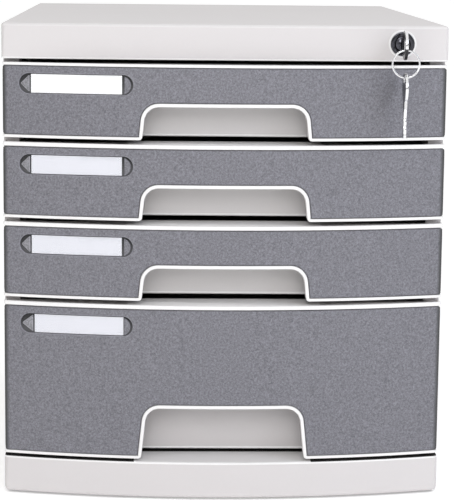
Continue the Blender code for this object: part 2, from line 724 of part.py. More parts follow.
def make_top_cover(name):
    """Lid: a thin moulded cover with a rounded rim, a skirt all round, bosses and the lock's hole."""
    def ring(inset, z):
        radius = max(LID_CORNER_RADIUS - inset, SEAT_GAP)
        outline = bowed_outline(HALF_WIDTH, LID_BOW, CABINET_DEPTH - inset, inset, radius, radius)
        return [(x, y, z) for x, y in outline]

    rings = [ring(LID_WALL, LID_CEILING), ring(LID_WALL, LID_BOTTOM), ring(LID_LOWER_EDGE, LID_BOTTOM)]
    rings.append(ring(0, LID_BOTTOM + LID_LOWER_EDGE))
    for inset, drop in reversed(fillet_steps(LID_EDGE_RADIUS)):
        rings.append(ring(inset, LID_TOP - drop))
    lid = loft(name, rings)
    hole = circle(LOCK_X, LOCK_Z, BARREL_RADIUS + SEAT_GAP)
    cut(lid, prism("lock_hole", hole, "Y", -LID_BOW - OVERRUN, LID_WALL + OVERRUN))
    for side in (-1, 1):
        for y in CORNER_SCREW_Y:
            x = side * CORNER_SCREW_X
            low = PANEL_TOP - TOP_FLANGE_DROP + SEAT_GAP
            boss = circle(x, y, PILLAR_RADIUS, SCREW_STEPS)
            unite(lid, prism("boss", boss, "Z", low, LID_CEILING + LID_TOP_WALL / 2))
            bore = circle(x, y, BORE_RADIUS, SCREW_STEPS)
            cut(lid, prism("bore", bore, "Z", low - OVERRUN, LID_CEILING + SEAT_GAP))
    return lid


def foot_places():
    back = CABINET_DEPTH - FOOT_BACK_INSET
    return [(side * FOOT_X, y) for y in (FOOT_FRONT_Y, back) for side in (-1, 1)]


def make_base(name):
    """Base: a bowed plinth with a deck, ribs under it, and a socketed boss for each foot."""
    def ring(inset, z):
        radius = max(BASE_CORNER_RADIUS - inset, SEAT_GAP)
        outline = bowed_outline(HALF_WIDTH - BASE_INSET, FRONT_BOW, REAR_EDGE - inset, inset, radius, radius)
        return [(x, y, z) for x, y in outline]

    ceiling = BASE_TOP - BASE_WALL
    rings = [ring(BASE_WALL, ceiling), ring(BASE_WALL, FOOT_STAND)]
    for inset, rise in fillet_steps(BASE_FOOT_RADIUS):
        rings.append(ring(min(inset, BASE_WALL - SEAT_GAP), FOOT_STAND + rise))
    for inset, drop in reversed(fillet_steps(BASE_TOP_RADIUS)):
        rings.append(ring(inset, BASE_TOP - drop))
    base = loft(name, rings)
    inside = ceiling + BASE_WALL / 2
    rib_low = FOOT_STAND + BASE_FOOT_RADIUS
    half = BASE_RIB_WALL / 2
    rib_x = HALF_WIDTH * BASE_RIB_WIDTH_SHARE
    for x in (-rib_x, rib_x):
        front = bow_at(x, FRONT_HALF_WIDTH, FRONT_BOW) + BASE_WALL / 2
        unite(base, box("rib", (x - half, front, rib_low), (x + half, REAR_EDGE - BASE_WALL / 2, inside)))
    side = HALF_WIDTH - BASE_INSET - BASE_WALL / 2
    for y in (CABINET_DEPTH * share for share in BASE_RIB_DEPTH_SHARES):
        unite(base, box("rib", (-side, y - half, rib_low), (side, y + half, inside)))
    for x, y in foot_places():
        unite(base, prism("boss", circle(x, y, FOOT_BOSS_RADIUS), "Z", FOOT_STAND, inside))
        socket = circle(x, y, FOOT_RADIUS + SEAT_GAP)
        cut(base, prism("socket", socket, "Z", 0, FOOT_STAND + FOOT_SINK))
    for side in (-1, 1):
        for y in CORNER_SCREW_Y:
            hole = circle(side * CORNER_SCREW_X, y, BORE_RADIUS, SCREW_STEPS)
            cut(base, prism("hole", hole, "Z", ceiling - OVERRUN, BASE_TOP + OVERRUN))
    return base


def make_foot_mesh(name):
    """Rubber foot, standing on zero."""
    height = FOOT_STAND + FOOT_SINK - SEAT_GAP
    profile = [(FOOT_RADIUS - FOOT_EDGE, 0), (FOOT_RADIUS, FOOT_EDGE), (FOOT_RADIUS, height)]
    rings = [[(x, y, z) for x, y in circle(0, 0, radius)] for radius, z in profile]
    foot = loft(name, rings)
    mesh = foot.data
    bpy.data.objects.remove(foot, do_unlink=True)
    return mesh


def make_side_panel(name, side, drawers):
    """Side wall: a tongue under the lid, flanges, a slotted front stile, runners and the back's groove."""
    flange_top = PANEL_TOP - TOP_FLANGE_DROP
    bottom_flange = PANEL_BOTTOM + FLANGE_WALL
    inner_step = PANEL_STEP - PANEL_WALL
    wall = (
        (PANEL_OUTSIDE, PANEL_BOTTOM),
        (PANEL_OUTSIDE, PANEL_STEP),
        (TONGUE_OUTSIDE, PANEL_STEP),
        (TONGUE_OUTSIDE, PANEL_TOP),
        (TONGUE_INSIDE, PANEL_TOP),
        (TONGUE_INSIDE, inner_step),
        (PANEL_INSIDE, inner_step),
        (PANEL_INSIDE, bottom_flange),
        (RUNNER_REACH, bottom_flange),
        (RUNNER_REACH, PANEL_BOTTOM),
    )
    stile = (
        (PANEL_OUTSIDE, PANEL_BOTTOM),
        (PANEL_OUTSIDE, PANEL_STEP),
        (TONGUE_OUTSIDE, PANEL_STEP),
        (TONGUE_OUTSIDE, PANEL_TOP),
        (STILE_REACH, PANEL_TOP),
        (STILE_REACH, PANEL_BOTTOM),
    )

    def mirrored(outline):
        return [(side * x, other) for x, other in outline]

    def block(tag, low, high):
        ends = sorted((side * low[0], side * high[0]))
        return box(tag, (ends[0], low[1], low[2]), (ends[1], high[1], high[2]))

    panel = prism(name, mirrored(wall), "Y", STILE_FRONT, PANEL_REAR)
    unite(panel, prism("stile", mirrored(stile), "Y", STILE_FRONT, STILE_BACK))
    flange_low = flange_top - FLANGE_WALL
    low = (RUNNER_REACH, RUNNER_START, flange_low)
    unite(panel, block("flange", low, (PANEL_SPINE, RUNNER_END, flange_top)))
    for front, back in ((GROOVE_FRONT - GROOVE_RIB, GROOVE_FRONT), (GROOVE_BACK, PANEL_REAR)):
        unite(panel, block("groove", (GROOVE_REACH, front, PANEL_BOTTOM), (PANEL_SPINE, back, PANEL_TOP)))

    # The runners are one comb whose back lies inside the wall
    comb = []
    for bottom, height in reversed(drawers):
        top = bottom + height - TRAY_TOP_DROP
        lower_top = top - TRAY_FLANGE_WALL - SEAT_GAP
        upper_bottom = top + RUNNER_HEADROOM
        for low, high in ((lower_top - RUNNER_WALL, lower_top), (upper_bottom, upper_bottom + RUNNER_WALL)):
            comb += [(PANEL_SPINE - SEAT_GAP / 2, low), (RUNNER_REACH, low)]
            comb += [(RUNNER_REACH, high), (PANEL_SPINE - SEAT_GAP / 2, high)]
    comb += [(PANEL_SPINE, comb[-1][1]), (PANEL_SPINE, comb[0][1])]
    unite(panel, prism("comb", mirrored(comb), "Y", RUNNER_START, RUNNER_END))

    # Each flange slides past the stile, and on the lock's side the catch below it does too
    for bottom, height in drawers:
        top = bottom + height - TRAY_TOP_DROP
        reach = CATCH_HEIGHT if side > 0 else 0
        low = (STILE_REACH - OVERRUN, STILE_FRONT - OVERRUN, top - TRAY_FLANGE_WALL - reach - SLIDE_GAP)
        high = (FLANGE_EDGE + SLIDE_GAP, STILE_BACK + OVERRUN / 2, top + RUNNER_HEADROOM)
        cut(panel, block("slot", low, high))
        stop_y = STOP_Y - STOP_LENGTH - TRAVEL - STOP_CLEARANCE
        low = (RUNNER_REACH, stop_y - STOP_LENGTH, top + SLIDE_GAP)
        high = (PANEL_SPINE, stop_y, top + RUNNER_HEADROOM + RUNNER_WALL / 2)
        unite(panel, block("stop", low, high))

    for y in CORNER_SCREW_Y:
        x = side * CORNER_SCREW_X
        pillar = circle(x, y, PILLAR_RADIUS, SCREW_STEPS)
        low = PANEL_BOTTOM + FLANGE_WALL / 2
        unite(panel, prism("pillar", pillar, "Z", low, bottom_flange + PILLAR_HEIGHT))
        bore = circle(x, y, BORE_RADIUS, SCREW_STEPS)
        top = PANEL_BOTTOM + BORE_DEPTH - FLANGE_WALL
        cut(panel, prism("bore", bore, "Z", PANEL_BOTTOM - OVERRUN, top))
        cut(panel, prism("hole", bore, "Z", flange_low - OVERRUN / 2, flange_top + OVERRUN / 2))
    if side > 0:
        add_bar_guides(panel, block, drawers)
    return panel


def add_bar_guides(panel, block, drawers):
    """Rail, rear rib and keepers that hold the lock bar against the right side panel."""
    low_z = bar_bottom(drawers)
    high_z = PANEL_STEP - PANEL_WALL
    back = BAR_BACK + PASS_GAP
    rail_front = BAR_FRONT + GUIDE_RAIL_SETBACK
    low = (BAR_OUTSIDE + PASS_GAP, rail_front, low_z)
    unite(panel, block("rail", low, (PANEL_SPINE, rail_front + GUIDE_RAIL_DEPTH, high_z)))
    low = (FLANGE_EDGE + PASS_GAP, back, low_z)
    unite(panel, block("rib", low, (PANEL_SPINE, back + GUIDE_WALL, high_z)))
    for bottom, height in (drawers[0], drawers[2]):
        middle = bottom + height / 2 - CATCH_HEIGHT
        root = FLANGE_EDGE + PASS_GAP + GUIDE_WALL
        hook = (
            (FLANGE_EDGE - KEEPER_WALL, back - KEEPER_LENGTH),
            (FLANGE_EDGE + PASS_GAP / 2, back - KEEPER_LENGTH),
            (FLANGE_EDGE + PASS_GAP / 2, back + GUIDE_WALL / 4),
            (root, back + GUIDE_WALL / 4),
            (root, back + GUIDE_WALL * 3 / 4),
            (FLANGE_EDGE - KEEPER_WALL, back + GUIDE_WALL * 3 / 4),
        )
        hook_low = middle - KEEPER_HEIGHT / 2
        unite(panel, prism("keeper", hook, "Z", hook_low, hook_low + KEEPER_HEIGHT))


def make_back_panel(name):
    """Rear wall, held in the side panels' grooves, with two stiffening ribs inside."""
    bottom = PANEL_BOTTOM + FLANGE_WALL + SEAT_GAP
    low = (-BACK_HALF_WIDTH, BACK_PANEL_FRONT, bottom)
    panel = box(name, low, (BACK_HALF_WIDTH, BACK_PANEL_BACK, PANEL_TOP))
    rib_x = HALF_WIDTH * BACK_RIB_SHARE
    for x in (-rib_x, rib_x):
        low = (x - BACK_RIB_WALL / 2, BACK_PANEL_FRONT - BACK_RIB_DEPTH, bottom + BACK_RIB_MARGIN)
        high = (x + BACK_RIB_WALL / 2, BACK_PANEL_FRONT + BACK_WALL / 2, PANEL_TOP - BACK_RIB_MARGIN)
        unite(panel, box("rib", low, high))
    return panel


def make_lock_housing(name):
    profile = (
        (PLUG_RADIUS + SEAT_GAP, BEZEL_FRONT),
        (BEZEL_RADIUS - BEZEL_EDGE, BEZEL_FRONT),
        (BEZEL_RADIUS, BEZEL_FRONT + BEZEL_EDGE),
        (BEZEL_RADIUS, BEZEL_BACK),
        (BARREL_RADIUS, BEZEL_BACK),
        (BARREL_RADIUS, BARREL_BACK),
        (PLUG_RADIUS + SEAT_GAP, BARREL_BACK),
    )
    return turned(name, profile, ROUND_STEPS, (LOCK_X, LOCK_Z))


def make_lock_nut(name):
    """Hexagon nut on the barrel, behind the lid's skirt."""
    front = bow_at(LOCK_X + NUT_ACROSS_FLATS / 2, HALF_WIDTH, LID_BOW) + LID_WALL + SEAT_GAP
    hexagon = circle(LOCK_X, LOCK_Z, NUT_ACROSS_FLATS / math.sqrt(3), 6)
    nut = prism(name, hexagon, "Y", front, front + NUT_LENGTH)
    bore = circle(LOCK_X, LOCK_Z, BARREL_RADIUS + SEAT_GAP)
    return cut(nut, prism("bore", bore, "Y", front - OVERRUN, front + NUT_LENGTH + OVERRUN))


def make_lock_plug(name):
    """Turning plug at the origin of its axis: keyway in front, square tang and screw bore behind."""
    profile = ((0, PLUG_FRONT), (PLUG_RADIUS, PLUG_FRONT), (PLUG_RADIUS, PLUG_BACK), (0, PLUG_BACK))
    plug = turned(name, profile, ROUND_STEPS)
    half = TANG_SIDE / 2
    tang_back = PLUG_BACK + TANG_LENGTH
    unite(plug, box("tang", (-half, PLUG_BACK - TANG_LENGTH, -half), (half, tang_back, half)))
    wide = KEYWAY_WIDTH / 2
    tall = KEYWAY_HEIGHT / 2
    keyway_back = KEY_TIP_Y + SLIDE_GAP
    cut(plug, box("keyway", (-wide, PLUG_FRONT - OVERRUN, -tall), (wide, keyway_back, tall)))
    bore = circle(0, 0, CAM_SCREW_RADIUS + SEAT_GAP, SCREW_STEPS)
    depth = CAM_SCREW_LENGTH + CAM_SCREW_BORE_SPARE
    return cut(plug, prism("bore", bore, "Y", tang_back - depth, tang_back + OVERRUN))


def crank_place():
    """Crank pin relative to the lock's axis, unlocked: down and to the left, ready to rise."""
    return -CRANK_TRAVEL / 2, -CRANK_TRAVEL / 2


def make_lock_cam(name):
    """Crank on the plug's tang: a disc with a square hole, a sunk seat for its screw, and a pin."""
    cam = prism(name, circle(0, 0, CAM_RADIUS), "Y", CAM_FRONT, CAM_BACK)
    x, z = crank_place()
    pin = circle(x, z, CRANK_PIN_RADIUS, SCREW_STEPS)
    unite(cam, prism("pin", pin, "Y", CAM_BACK - CAM_WALL / 2, CAM_BACK + CRANK_PIN_LENGTH))
    half = TANG_SIDE / 2 + SEAT_GAP
    cut(cam, box("square", (-half, CAM_FRONT - OVERRUN, -half), (half, CAM_BACK + OVERRUN, half)))
    sink = PLUG_BACK + TANG_LENGTH
    seat = circle(0, 0, CAM_SINK_RADIUS, ROUND_STEPS)
    return cut(cam, prism("sink", seat, "Y", sink, CAM_BACK + OVERRUN))


def bar_bottom(drawers):
    bottom, height = drawers[-1]
    catch_low = bottom + height - TRAY_TOP_DROP - TRAY_FLANGE_WALL - CATCH_HEIGHT
    return catch_low - CATCH_DROP - TOOTH_HEIGHT - BAR_TAIL


def make_lock_bar(name, drawers):
    """Bar that the crank lifts: a flat strip, an arm across to the crank, and a tooth for each drawer."""
    x_pin, z_pin = crank_place()
    arm_z = LOCK_Z + z_pin
    low = bar_bottom(drawers)
    high = arm_z + ARM_HALF_HEIGHT
    outline = rounded((
        (BAR_FRONT, low, BAR_CORNER_RADIUS),
        (BAR_BACK, low, BAR_CORNER_RADIUS),
        (BAR_BACK, high, BAR_CORNER_RADIUS),
        (BAR_FRONT, high, BAR_CORNER_RADIUS),
    ))
    bar = prism(name, outline, "X", BAR_INSIDE, BAR_OUTSIDE)
    arm_start = LOCK_X - CRANK_RADIUS - CRANK_PIN_RADIUS - PASS_GAP - ARM_END
    arm = rounded((
        (arm_start, arm_z - ARM_HALF_HEIGHT, BAR_CORNER_RADIUS),
        (BAR_INSIDE + BAR_WALL / 2, arm_z - ARM_HALF_HEIGHT, 0),
        (BAR_INSIDE + BAR_WALL / 2, arm_z + ARM_HALF_HEIGHT, 0),
        (arm_start, arm_z + ARM_HALF_HEIGHT, BAR_CORNER_RADIUS),
    ))
    unite(bar, prism("arm", arm, "Y", ARM_FRONT, ARM_BACK))
    hole = CRANK_PIN_RADIUS + PASS_GAP
    slot = rounded([(x, arm_z + v, hole * ROUND_SHARE) for x, v in (
        (LOCK_X - CRANK_RADIUS - hole, -hole),
        (LOCK_X + x_pin + hole, -hole),
        (LOCK_X + x_pin + hole, hole),
        (LOCK_X - CRANK_RADIUS - hole, hole),
    )])
    cut(bar, prism("slot", slot, "Y", ARM_FRONT - OVERRUN, ARM_BACK + OVERRUN))
    for bottom, height in drawers:
        top = bottom + height - TRAY_TOP_DROP - TRAY_FLANGE_WALL - CATCH_HEIGHT - CATCH_DROP
        tooth = (
            (BAR_INSIDE + BAR_WALL / 2, top - TOOTH_HEIGHT),
            (BAR_INSIDE, top - TOOTH_HEIGHT),
            (BAR_INSIDE - TOOTH_REACH, top - TOOTH_HEIGHT + TOOTH_RAMP),
            (BAR_INSIDE - TOOTH_REACH, top),
            (BAR_INSIDE + BAR_WALL / 2, top),
        )
        unite(bar, prism("tooth", tooth, "Y", BAR_FRONT, BAR_FRONT + TOOTH_DEPTH))
    return bar


def key_outline():
    """Key in its own plane: s runs from its tip to the end of its bow, and v across it."""
    upper = [(0, KEY_TIP_HALF), (KEY_TIP_LENGTH, KEY_BLADE_HALF)]
    bits = len(KEY_BIT_DEPTH_SHARES)
    pitch = (KEY_BLADE_LENGTH - 2 * KEY_TIP_LENGTH) / bits
    flat = pitch * KEY_BIT_FLAT_SHARE
    for i, share in enumerate(KEY_BIT_DEPTH_SHARES):
        s = KEY_TIP_LENGTH + (i + 1 / 2) * pitch
        depth = KEY_BLADE_HALF * (1 - share)
        upper += [(s - flat / 2, depth), (s + flat / 2, depth)]
    upper += [(KEY_BLADE_LENGTH - KEY_TIP_LENGTH, KEY_BLADE_HALF), (KEY_BLADE_LENGTH, KEY_BLADE_HALF)]
    upper += [(KEY_BLADE_LENGTH, KEY_COLLAR_HALF)]
    centre = KEY_LENGTH - KEY_BOW_RADIUS
    start = math.pi - math.asin(KEY_COLLAR_HALF / KEY_BOW_RADIUS)
    steps = ROUND_STEPS // 2
    for step in range(steps):
        angle = start * (1 - step / steps)
        upper.append((centre + KEY_BOW_RADIUS * math.cos(angle), KEY_BOW_RADIUS * math.sin(angle)))
    end = (KEY_LENGTH, 0)
    lower = [(s, -v) for s, v in reversed(upper)]
    return upper + [end] + lower


def make_key_mesh(name, turn):
    """Flat key in the YZ plane; turn maps a point of its outline to (y, z)."""
    half = KEY_THICKNESS / 2
    key = prism(name, [turn(s, v) for s, v in key_outline()], "X", -half, half)
    long = KEY_EYE_LENGTH / 2
    short = KEY_EYE_WIDTH / 2
    eye = rounded([(KEY_EYE_S + s, v, short * ROUND_SHARE) for s, v in (
        (-short, -long),
        (short, -long),
        (short, long),
        (-short, long),
    )])
    return cut(key, prism("eye", [turn(s, v) for s, v in eye], "X", -OVERRUN, OVERRUN))


def make_ring(name):
    """Wire ring about its own centre, in the plane parallel to the front."""
    bm = bmesh.new()
    rings = []
    for step in range(RING_STEPS):
        angle = math.tau * step / RING_STEPS
        out = Vector((math.sin(angle), 0, math.cos(angle)))
        ring = []
        for u, v in circle(RING_RADIUS, 0, RING_WIRE_RADIUS, WIRE_STEPS):
            ring.append(bm.verts.new(out * u + Vector((0, v, 0))))
        rings.append(ring)
    for one, two in zip(rings, rings[1:] + rings[:1]):
        for i in range(WIRE_STEPS):
            j = (i + 1) % WIRE_STEPS
            bm.faces.new((one[i], one[j], two[j], two[i]))
    return finish_mesh(name, bm)


def drawer_places():
    """Bottom and height of each drawer front, from the top drawer down."""
    places = []
    top = LID_BOTTOM - LID_GAP
    for height in FRONT_HEIGHTS:
        places.append((top - height, height))
        top -= height + FRONT_GAP
    return places


def make_drawer(number, bottom, height, shared, materials, cabinet):
    """One drawer on its own empty; drawers of one height share their meshes."""
    drawer = make_empty(f"drawer_{number}", (0, 0, bottom), cabinet)
    deep = height == DEEP_FRONT_HEIGHT
    notch_height = DEEP_NOTCH_HEIGHT if deep else SHALLOW_NOTCH_HEIGHT
    makers = {
        "tray": lambda name: make_tray(name, height),
        "front_frame": lambda name: make_front_frame(name, height, notch_height),
        "fascia": lambda name: make_fascia(name, height, notch_height),
        "label_card": lambda name: make_label_strip(
            name, RECESS_DEPTH - SEAT_GAP - CARD_THICKNESS, RECESS_DEPTH - SEAT_GAP,
            DEEP_CARD_SHIFT if deep else 0),
        "label_window": lambda name: make_label_strip(name, 0, WINDOW_THICKNESS),
    }
    finishes = {"tray": "light", "front_frame": "light", "fascia": "dark", "label_card": "card",
                "label_window": "clear"}
    for piece, maker in makers.items():
        name = f"drawer_{number}_{piece}"
        key = (piece, height)
        if key in shared:
            item = make_object(name, shared[key])
        else:
            item = maker(name)
            shared[key] = item.data
        place(item, materials[finishes[piece]], drawer, math.radians(30))
        if piece.startswith("label"):
            item.location.z = height - TOP_RIM - LABEL_DROP
    for side, word in ((-1, "left"), (1, "right")):
        screw = make_object(f"drawer_{number}_screw_{word}", shared["screw"])
        screw.location = (side * FRONT_SCREW_X, TRAY_FRONT + TRAY_WALL + SEAT_GAP, height / 2)
        place(screw, materials["steel"], drawer)


def make_lock(materials, cabinet, drawers):
    place(make_lock_housing("lock_housing"), materials["chrome"], cabinet, math.radians(30))
    place(make_lock_nut("lock_nut"), materials["steel"], cabinet, math.radians(30))
    axis = make_empty("lock_axis", (LOCK_X, 0, LOCK_Z), cabinet)
    place(make_lock_plug("lock_plug"), materials["chrome"], axis, math.radians(30))
    place(make_lock_cam("lock_cam"), materials["steel"], axis, math.radians(30))
    small = make_object("cam_screw", make_screw_mesh(
        "cam_screw", CAM_SCREW_RADIUS, CAM_SCREW_LENGTH, CAM_SCREW_HEAD_RADIUS, CAM_SCREW_HEAD_HEIGHT,
        SCREW_SLOT_WIDTH, CAM_SCREW_HEAD_HEIGHT / 2))
    small.location.y = PLUG_BACK + TANG_LENGTH + SEAT_GAP
    place(small, materials["steel"], axis)
    place(make_lock_bar("lock_bar", drawers), materials["steel"], cabinet)

    key = make_key_mesh("lock_key", lambda s, v: (KEY_TIP_Y - s, v))
    place(key, materials["chrome"], axis, math.radians(30))
    ring_axis = make_empty("ring_axis", (0, RING_Y, RING_Z - LOCK_Z), axis)
    place(make_ring("key_ring"), materials["chrome"], ring_axis, math.radians(60))
    hang = make_empty("hang_axis", (0, 0, -RING_RADIUS), ring_axis)
    spare = make_key_mesh("spare_key", lambda s, v: (v, s - HANG_S))
    place(spare, materials["chrome"], hang, math.radians(30))


def make_corner_screws(materials, cabinet, shared):
    places = [(side * CORNER_SCREW_X, y) for y in CORNER_SCREW_Y
              for side in (-1, 1)]
    lid_seat = PANEL_TOP - TOP_FLANGE_DROP - FLANGE_WALL - SEAT_GAP
    base_seat = BASE_TOP - BASE_WALL - SEAT_GAP
    for word, seat in (("lid", lid_seat), ("base", base_seat)):
        for number, (x, y) in enumerate(places, 1):
            screw = make_object(f"{word}_screw_{number}", shared["screw"])
            screw.location = (x, y, seat)
            screw.rotation_euler.x = -math.pi / 2
            place(screw, materials["steel"], cabinet)


def main():
    clear_scene()
    materials = {
        "light": make_material("light_plastic", (0.76, 0.75, 0.75), 0.42),
        "dark": make_material("dark_plastic", (0.22, 0.22, 0.24), 0.55),
        "card": make_material("card", (0.92, 0.92, 0.93), 0.8),
        "clear": make_material("clear_plastic", (0.95, 0.96, 0.97), 0.08, alpha=0.25),
        "chrome": make_material("chrome", (0.80, 0.80, 0.81), 0.12, 1.0),
        "steel": make_material("zinc_plated_steel", (0.60, 0.61, 0.62), 0.35, 1.0),
        "rubber": make_material("rubber", (0.05, 0.05, 0.05), 0.8),
    }
    cabinet = make_empty("cabinet", (0, FRONT_Y, 0))
    drawers = drawer_places()
    shared = {"screw": make_screw_mesh(
        "screw", SCREW_RADIUS, SCREW_LENGTH, SCREW_HEAD_RADIUS, SCREW_HEAD_HEIGHT,
        SCREW_SLOT_WIDTH, SCREW_SLOT_DEPTH)}
    smooth = math.radians(30)
    place(make_base("base_plinth"), materials["light"], cabinet, smooth)
    place(make_side_panel("side_panel_left", -1, drawers), materials["light"], cabinet)
    place(make_side_panel("side_panel_right", 1, drawers), materials["light"], cabinet)
    place(make_back_panel("back_panel"), materials["light"], cabinet)
    place(make_top_cover("top_cover"), materials["light"], cabinet, smooth)
    foot_mesh = make_foot_mesh("foot")
    for number, (x, y) in enumerate(foot_places(), 1):
        foot = make_object(f"foot_{number}", foot_mesh)
        foot.location = (x, y, 0)
        place(foot, materials["rubber"], cabinet, smooth)
    make_corner_screws(materials, cabinet, shared)
    for number, (bottom, height) in enumerate(drawers, 1):
        make_drawer(number, bottom, height, shared, materials, cabinet)
    make_lock(materials, cabinet, drawers)
    bpy.context.view_layer.update()


main()
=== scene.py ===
# %% [markdown]
# # A desktop filing cabinet, dressed around its CAD frame
#
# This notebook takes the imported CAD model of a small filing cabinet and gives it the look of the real
# thing: satin grey moulded plastic, speckled dark drawer fronts with bright rims, paper labels in their
# recesses, and a plated lock with its keys. Each step first says what the part is on the real object, then
# how it is made.

# %% Load the frame
import json
import math

import bpy
from mathutils import Matrix, Vector


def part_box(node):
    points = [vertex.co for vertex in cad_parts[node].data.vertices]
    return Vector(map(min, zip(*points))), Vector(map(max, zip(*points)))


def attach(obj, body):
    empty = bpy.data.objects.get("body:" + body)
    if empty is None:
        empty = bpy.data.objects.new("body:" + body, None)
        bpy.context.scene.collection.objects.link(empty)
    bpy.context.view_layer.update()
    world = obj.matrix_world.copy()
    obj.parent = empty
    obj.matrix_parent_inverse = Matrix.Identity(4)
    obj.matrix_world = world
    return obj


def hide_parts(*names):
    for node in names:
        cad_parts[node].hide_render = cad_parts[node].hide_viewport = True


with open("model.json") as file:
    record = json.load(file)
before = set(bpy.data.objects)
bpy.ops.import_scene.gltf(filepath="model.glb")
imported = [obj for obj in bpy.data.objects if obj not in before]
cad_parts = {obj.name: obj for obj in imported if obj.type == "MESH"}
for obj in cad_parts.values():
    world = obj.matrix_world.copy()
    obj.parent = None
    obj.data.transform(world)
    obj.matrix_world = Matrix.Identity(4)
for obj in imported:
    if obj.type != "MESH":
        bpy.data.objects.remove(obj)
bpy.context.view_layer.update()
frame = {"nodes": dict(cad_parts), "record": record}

MM = 0.001
nodes = frame["nodes"]

# %% [markdown]
# ## The camera
#
# The photograph was taken from a little above and a little to the left, from about 1.3 metres away. Fitting
# a pinhole camera to the edges of the cabinet gave its place, its tilt and its focal length. Blender wants
# a rotation, so we build one from three turns: yaw about the vertical, pitch down, and roll.

# %% Place the camera
CAMERA_PLACE = Vector((-43.2, -1528.4, 385.1)) * MM
CAMERA_YAW = math.radians(1.943)
CAMERA_PITCH = math.radians(8.977)
CAMERA_ROLL = math.radians(0.586)
FOCAL_PIXELS = 1962.0
FRAME_HEIGHT = 500
SENSOR = 36.0


def make_camera():
    """A camera whose view matches the photograph's, with no shift and no depth of field."""
    data = bpy.data.cameras.new("camera")
    data.sensor_width = SENSOR
    data.lens = FOCAL_PIXELS / FRAME_HEIGHT * SENSOR
    camera = bpy.data.objects.new("camera", data)
    bpy.context.scene.collection.objects.link(camera)
    turn = (Matrix.Rotation(-CAMERA_YAW, 4, "Z")
            @ Matrix.Rotation(math.pi / 2 - CAMERA_PITCH, 4, "X")
            @ Matrix.Rotation(CAMERA_ROLL, 4, "Z"))
    camera.matrix_world = Matrix.Translation(CAMERA_PLACE) @ turn
    bpy.context.scene.camera = camera
    return camera


camera = make_camera()
print("camera at", [round(x, 3) for x in camera.location], "lens", round(camera.data.lens, 1), "mm")

# %% [markdown]
# ## Studio light and floor
#
# Product photographs like this one are taken in a white tent: light comes from everywhere, with more of it
# from the front, a dark flag on each side gives the white mouldings an outline against the white paper, and
# the opening that the camera looks through is dark, which is what makes flat plated metal look black with
# bright edges. A pale world with two dimmer sides and a dim opening gives the tent. One soft lamp stands
# low in front, so that its light reaches under the lips of the finger notches and fades upwards there, and
# a weaker, cooler one stands close by on the right. Their powers were found by rendering each light alone:
# light adds up, so the mix that comes closest to the photograph is a small sum. A plain pale floor throws
# light back up under the rims.

# %% Wrap the studio in paper
scene = bpy.context.scene
scene.view_settings.view_transform = "Standard"
scene.view_settings.look = "None"

TENT, PAPER = 0.95, 1.02
FLAG_START, FLAG_FULL, FLAG_SHARE = 0.60, 0.90, 0.15
OPENING_START, OPENING_FULL, OPENING_SHARE = 0.90, 0.96, 0.08


def fade(tree, value, start, full, low, high):
    """A number that goes smoothly from one value to another while its input goes from start to full."""
    node = tree.nodes.new("ShaderNodeMapRange")
    node.interpolation_type = "SMOOTHSTEP"
    tree.links.new(value, node.inputs["Value"])
    for label, number in (("From Min", start), ("From Max", full), ("To Min", low), ("To Max", high)):
        node.inputs[label].default_value = number
    return node.outputs["Result"]


def add_math(tree, operation, one, two=None, three=None):
    """A Math node whose inputs are numbers or sockets."""
    node = tree.nodes.new("ShaderNodeMath")
    node.operation = operation
    for socket, value in zip(node.inputs, (one, two, three)):
        if isinstance(value, (int, float)):
            socket.default_value = value
        elif value is not None:
            tree.links.new(value, socket)
    return node.outputs[0]


def make_world():
    """A pale tent with dim sides and a dim opening in front, and white paper where the camera looks at it."""
    world = bpy.data.worlds.new("studio")
    world.use_nodes = True
    tree = world.node_tree
    split = tree.nodes.new("ShaderNodeSeparateXYZ")
    tree.links.new(tree.nodes.new("ShaderNodeTexCoord").outputs["Generated"], split.inputs[0])
    sideways = add_math(tree, "ABSOLUTE", split.outputs["X"])
    forwards = add_math(tree, "MULTIPLY", split.outputs["Y"], -1.0)
    sides = fade(tree, sideways, FLAG_START, FLAG_FULL, TENT, TENT * FLAG_SHARE)
    opening = fade(tree, forwards, OPENING_START, OPENING_FULL, 1.0, OPENING_SHARE)
    tent = add_math(tree, "MULTIPLY", sides, opening)
    seen = tree.nodes.new("ShaderNodeMix")
    tree.links.new(tree.nodes.new("ShaderNodeLightPath").outputs["Is Camera Ray"], seen.inputs["Factor"])
    tree.links.new(tent, seen.inputs["A"])
    seen.inputs["B"].default_value = PAPER
    tree.links.new(seen.outputs["Result"], tree.nodes["Background"].inputs["Strength"])
    tree.nodes["Background"].inputs["Color"].default_value = (1, 1, 1, 1)
    scene.world = world


make_world()
print("world:", len(scene.world.node_tree.nodes), "nodes")

# %% Hang the lamps
KEY_PLACE, KEY_TARGET, KEY_POWER, KEY_SIZE = (-0.05, -1.8, 0.95), (0, 0, 0.2), 8.6, 0.7
SIDE_PLACE, SIDE_TARGET, SIDE_POWER, SIDE_SIZE = (0.80, -0.80, 0.72), (0.12, -0.2, 0.27), 2.4, 0.5
WHITE, COOL = (1, 1, 1), (0.78, 0.86, 1.0)


def add_lamp(name, place, target, power, size, colour):
    """A soft square lamp that looks from one point at another."""
    data = bpy.data.lights.new(name, "AREA")
    data.energy = power
    data.color = colour
    data.size = size
    lamp = bpy.data.objects.new(name, data)
    bpy.context.scene.collection.objects.link(lamp)
    place, target = Vector(place), Vector(target)
    aim = (target - place).to_track_quat("-Z", "Y")
    lamp.matrix_world = Matrix.Translation(place) @ aim.to_matrix().to_4x4()
    return lamp


add_lamp("key_lamp", KEY_PLACE, KEY_TARGET, KEY_POWER, KEY_SIZE, WHITE)
add_lamp("right_lamp", SIDE_PLACE, SIDE_TARGET, SIDE_POWER, SIDE_SIZE, COOL)
print("lamps at", KEY_PLACE, "and", SIDE_PLACE)

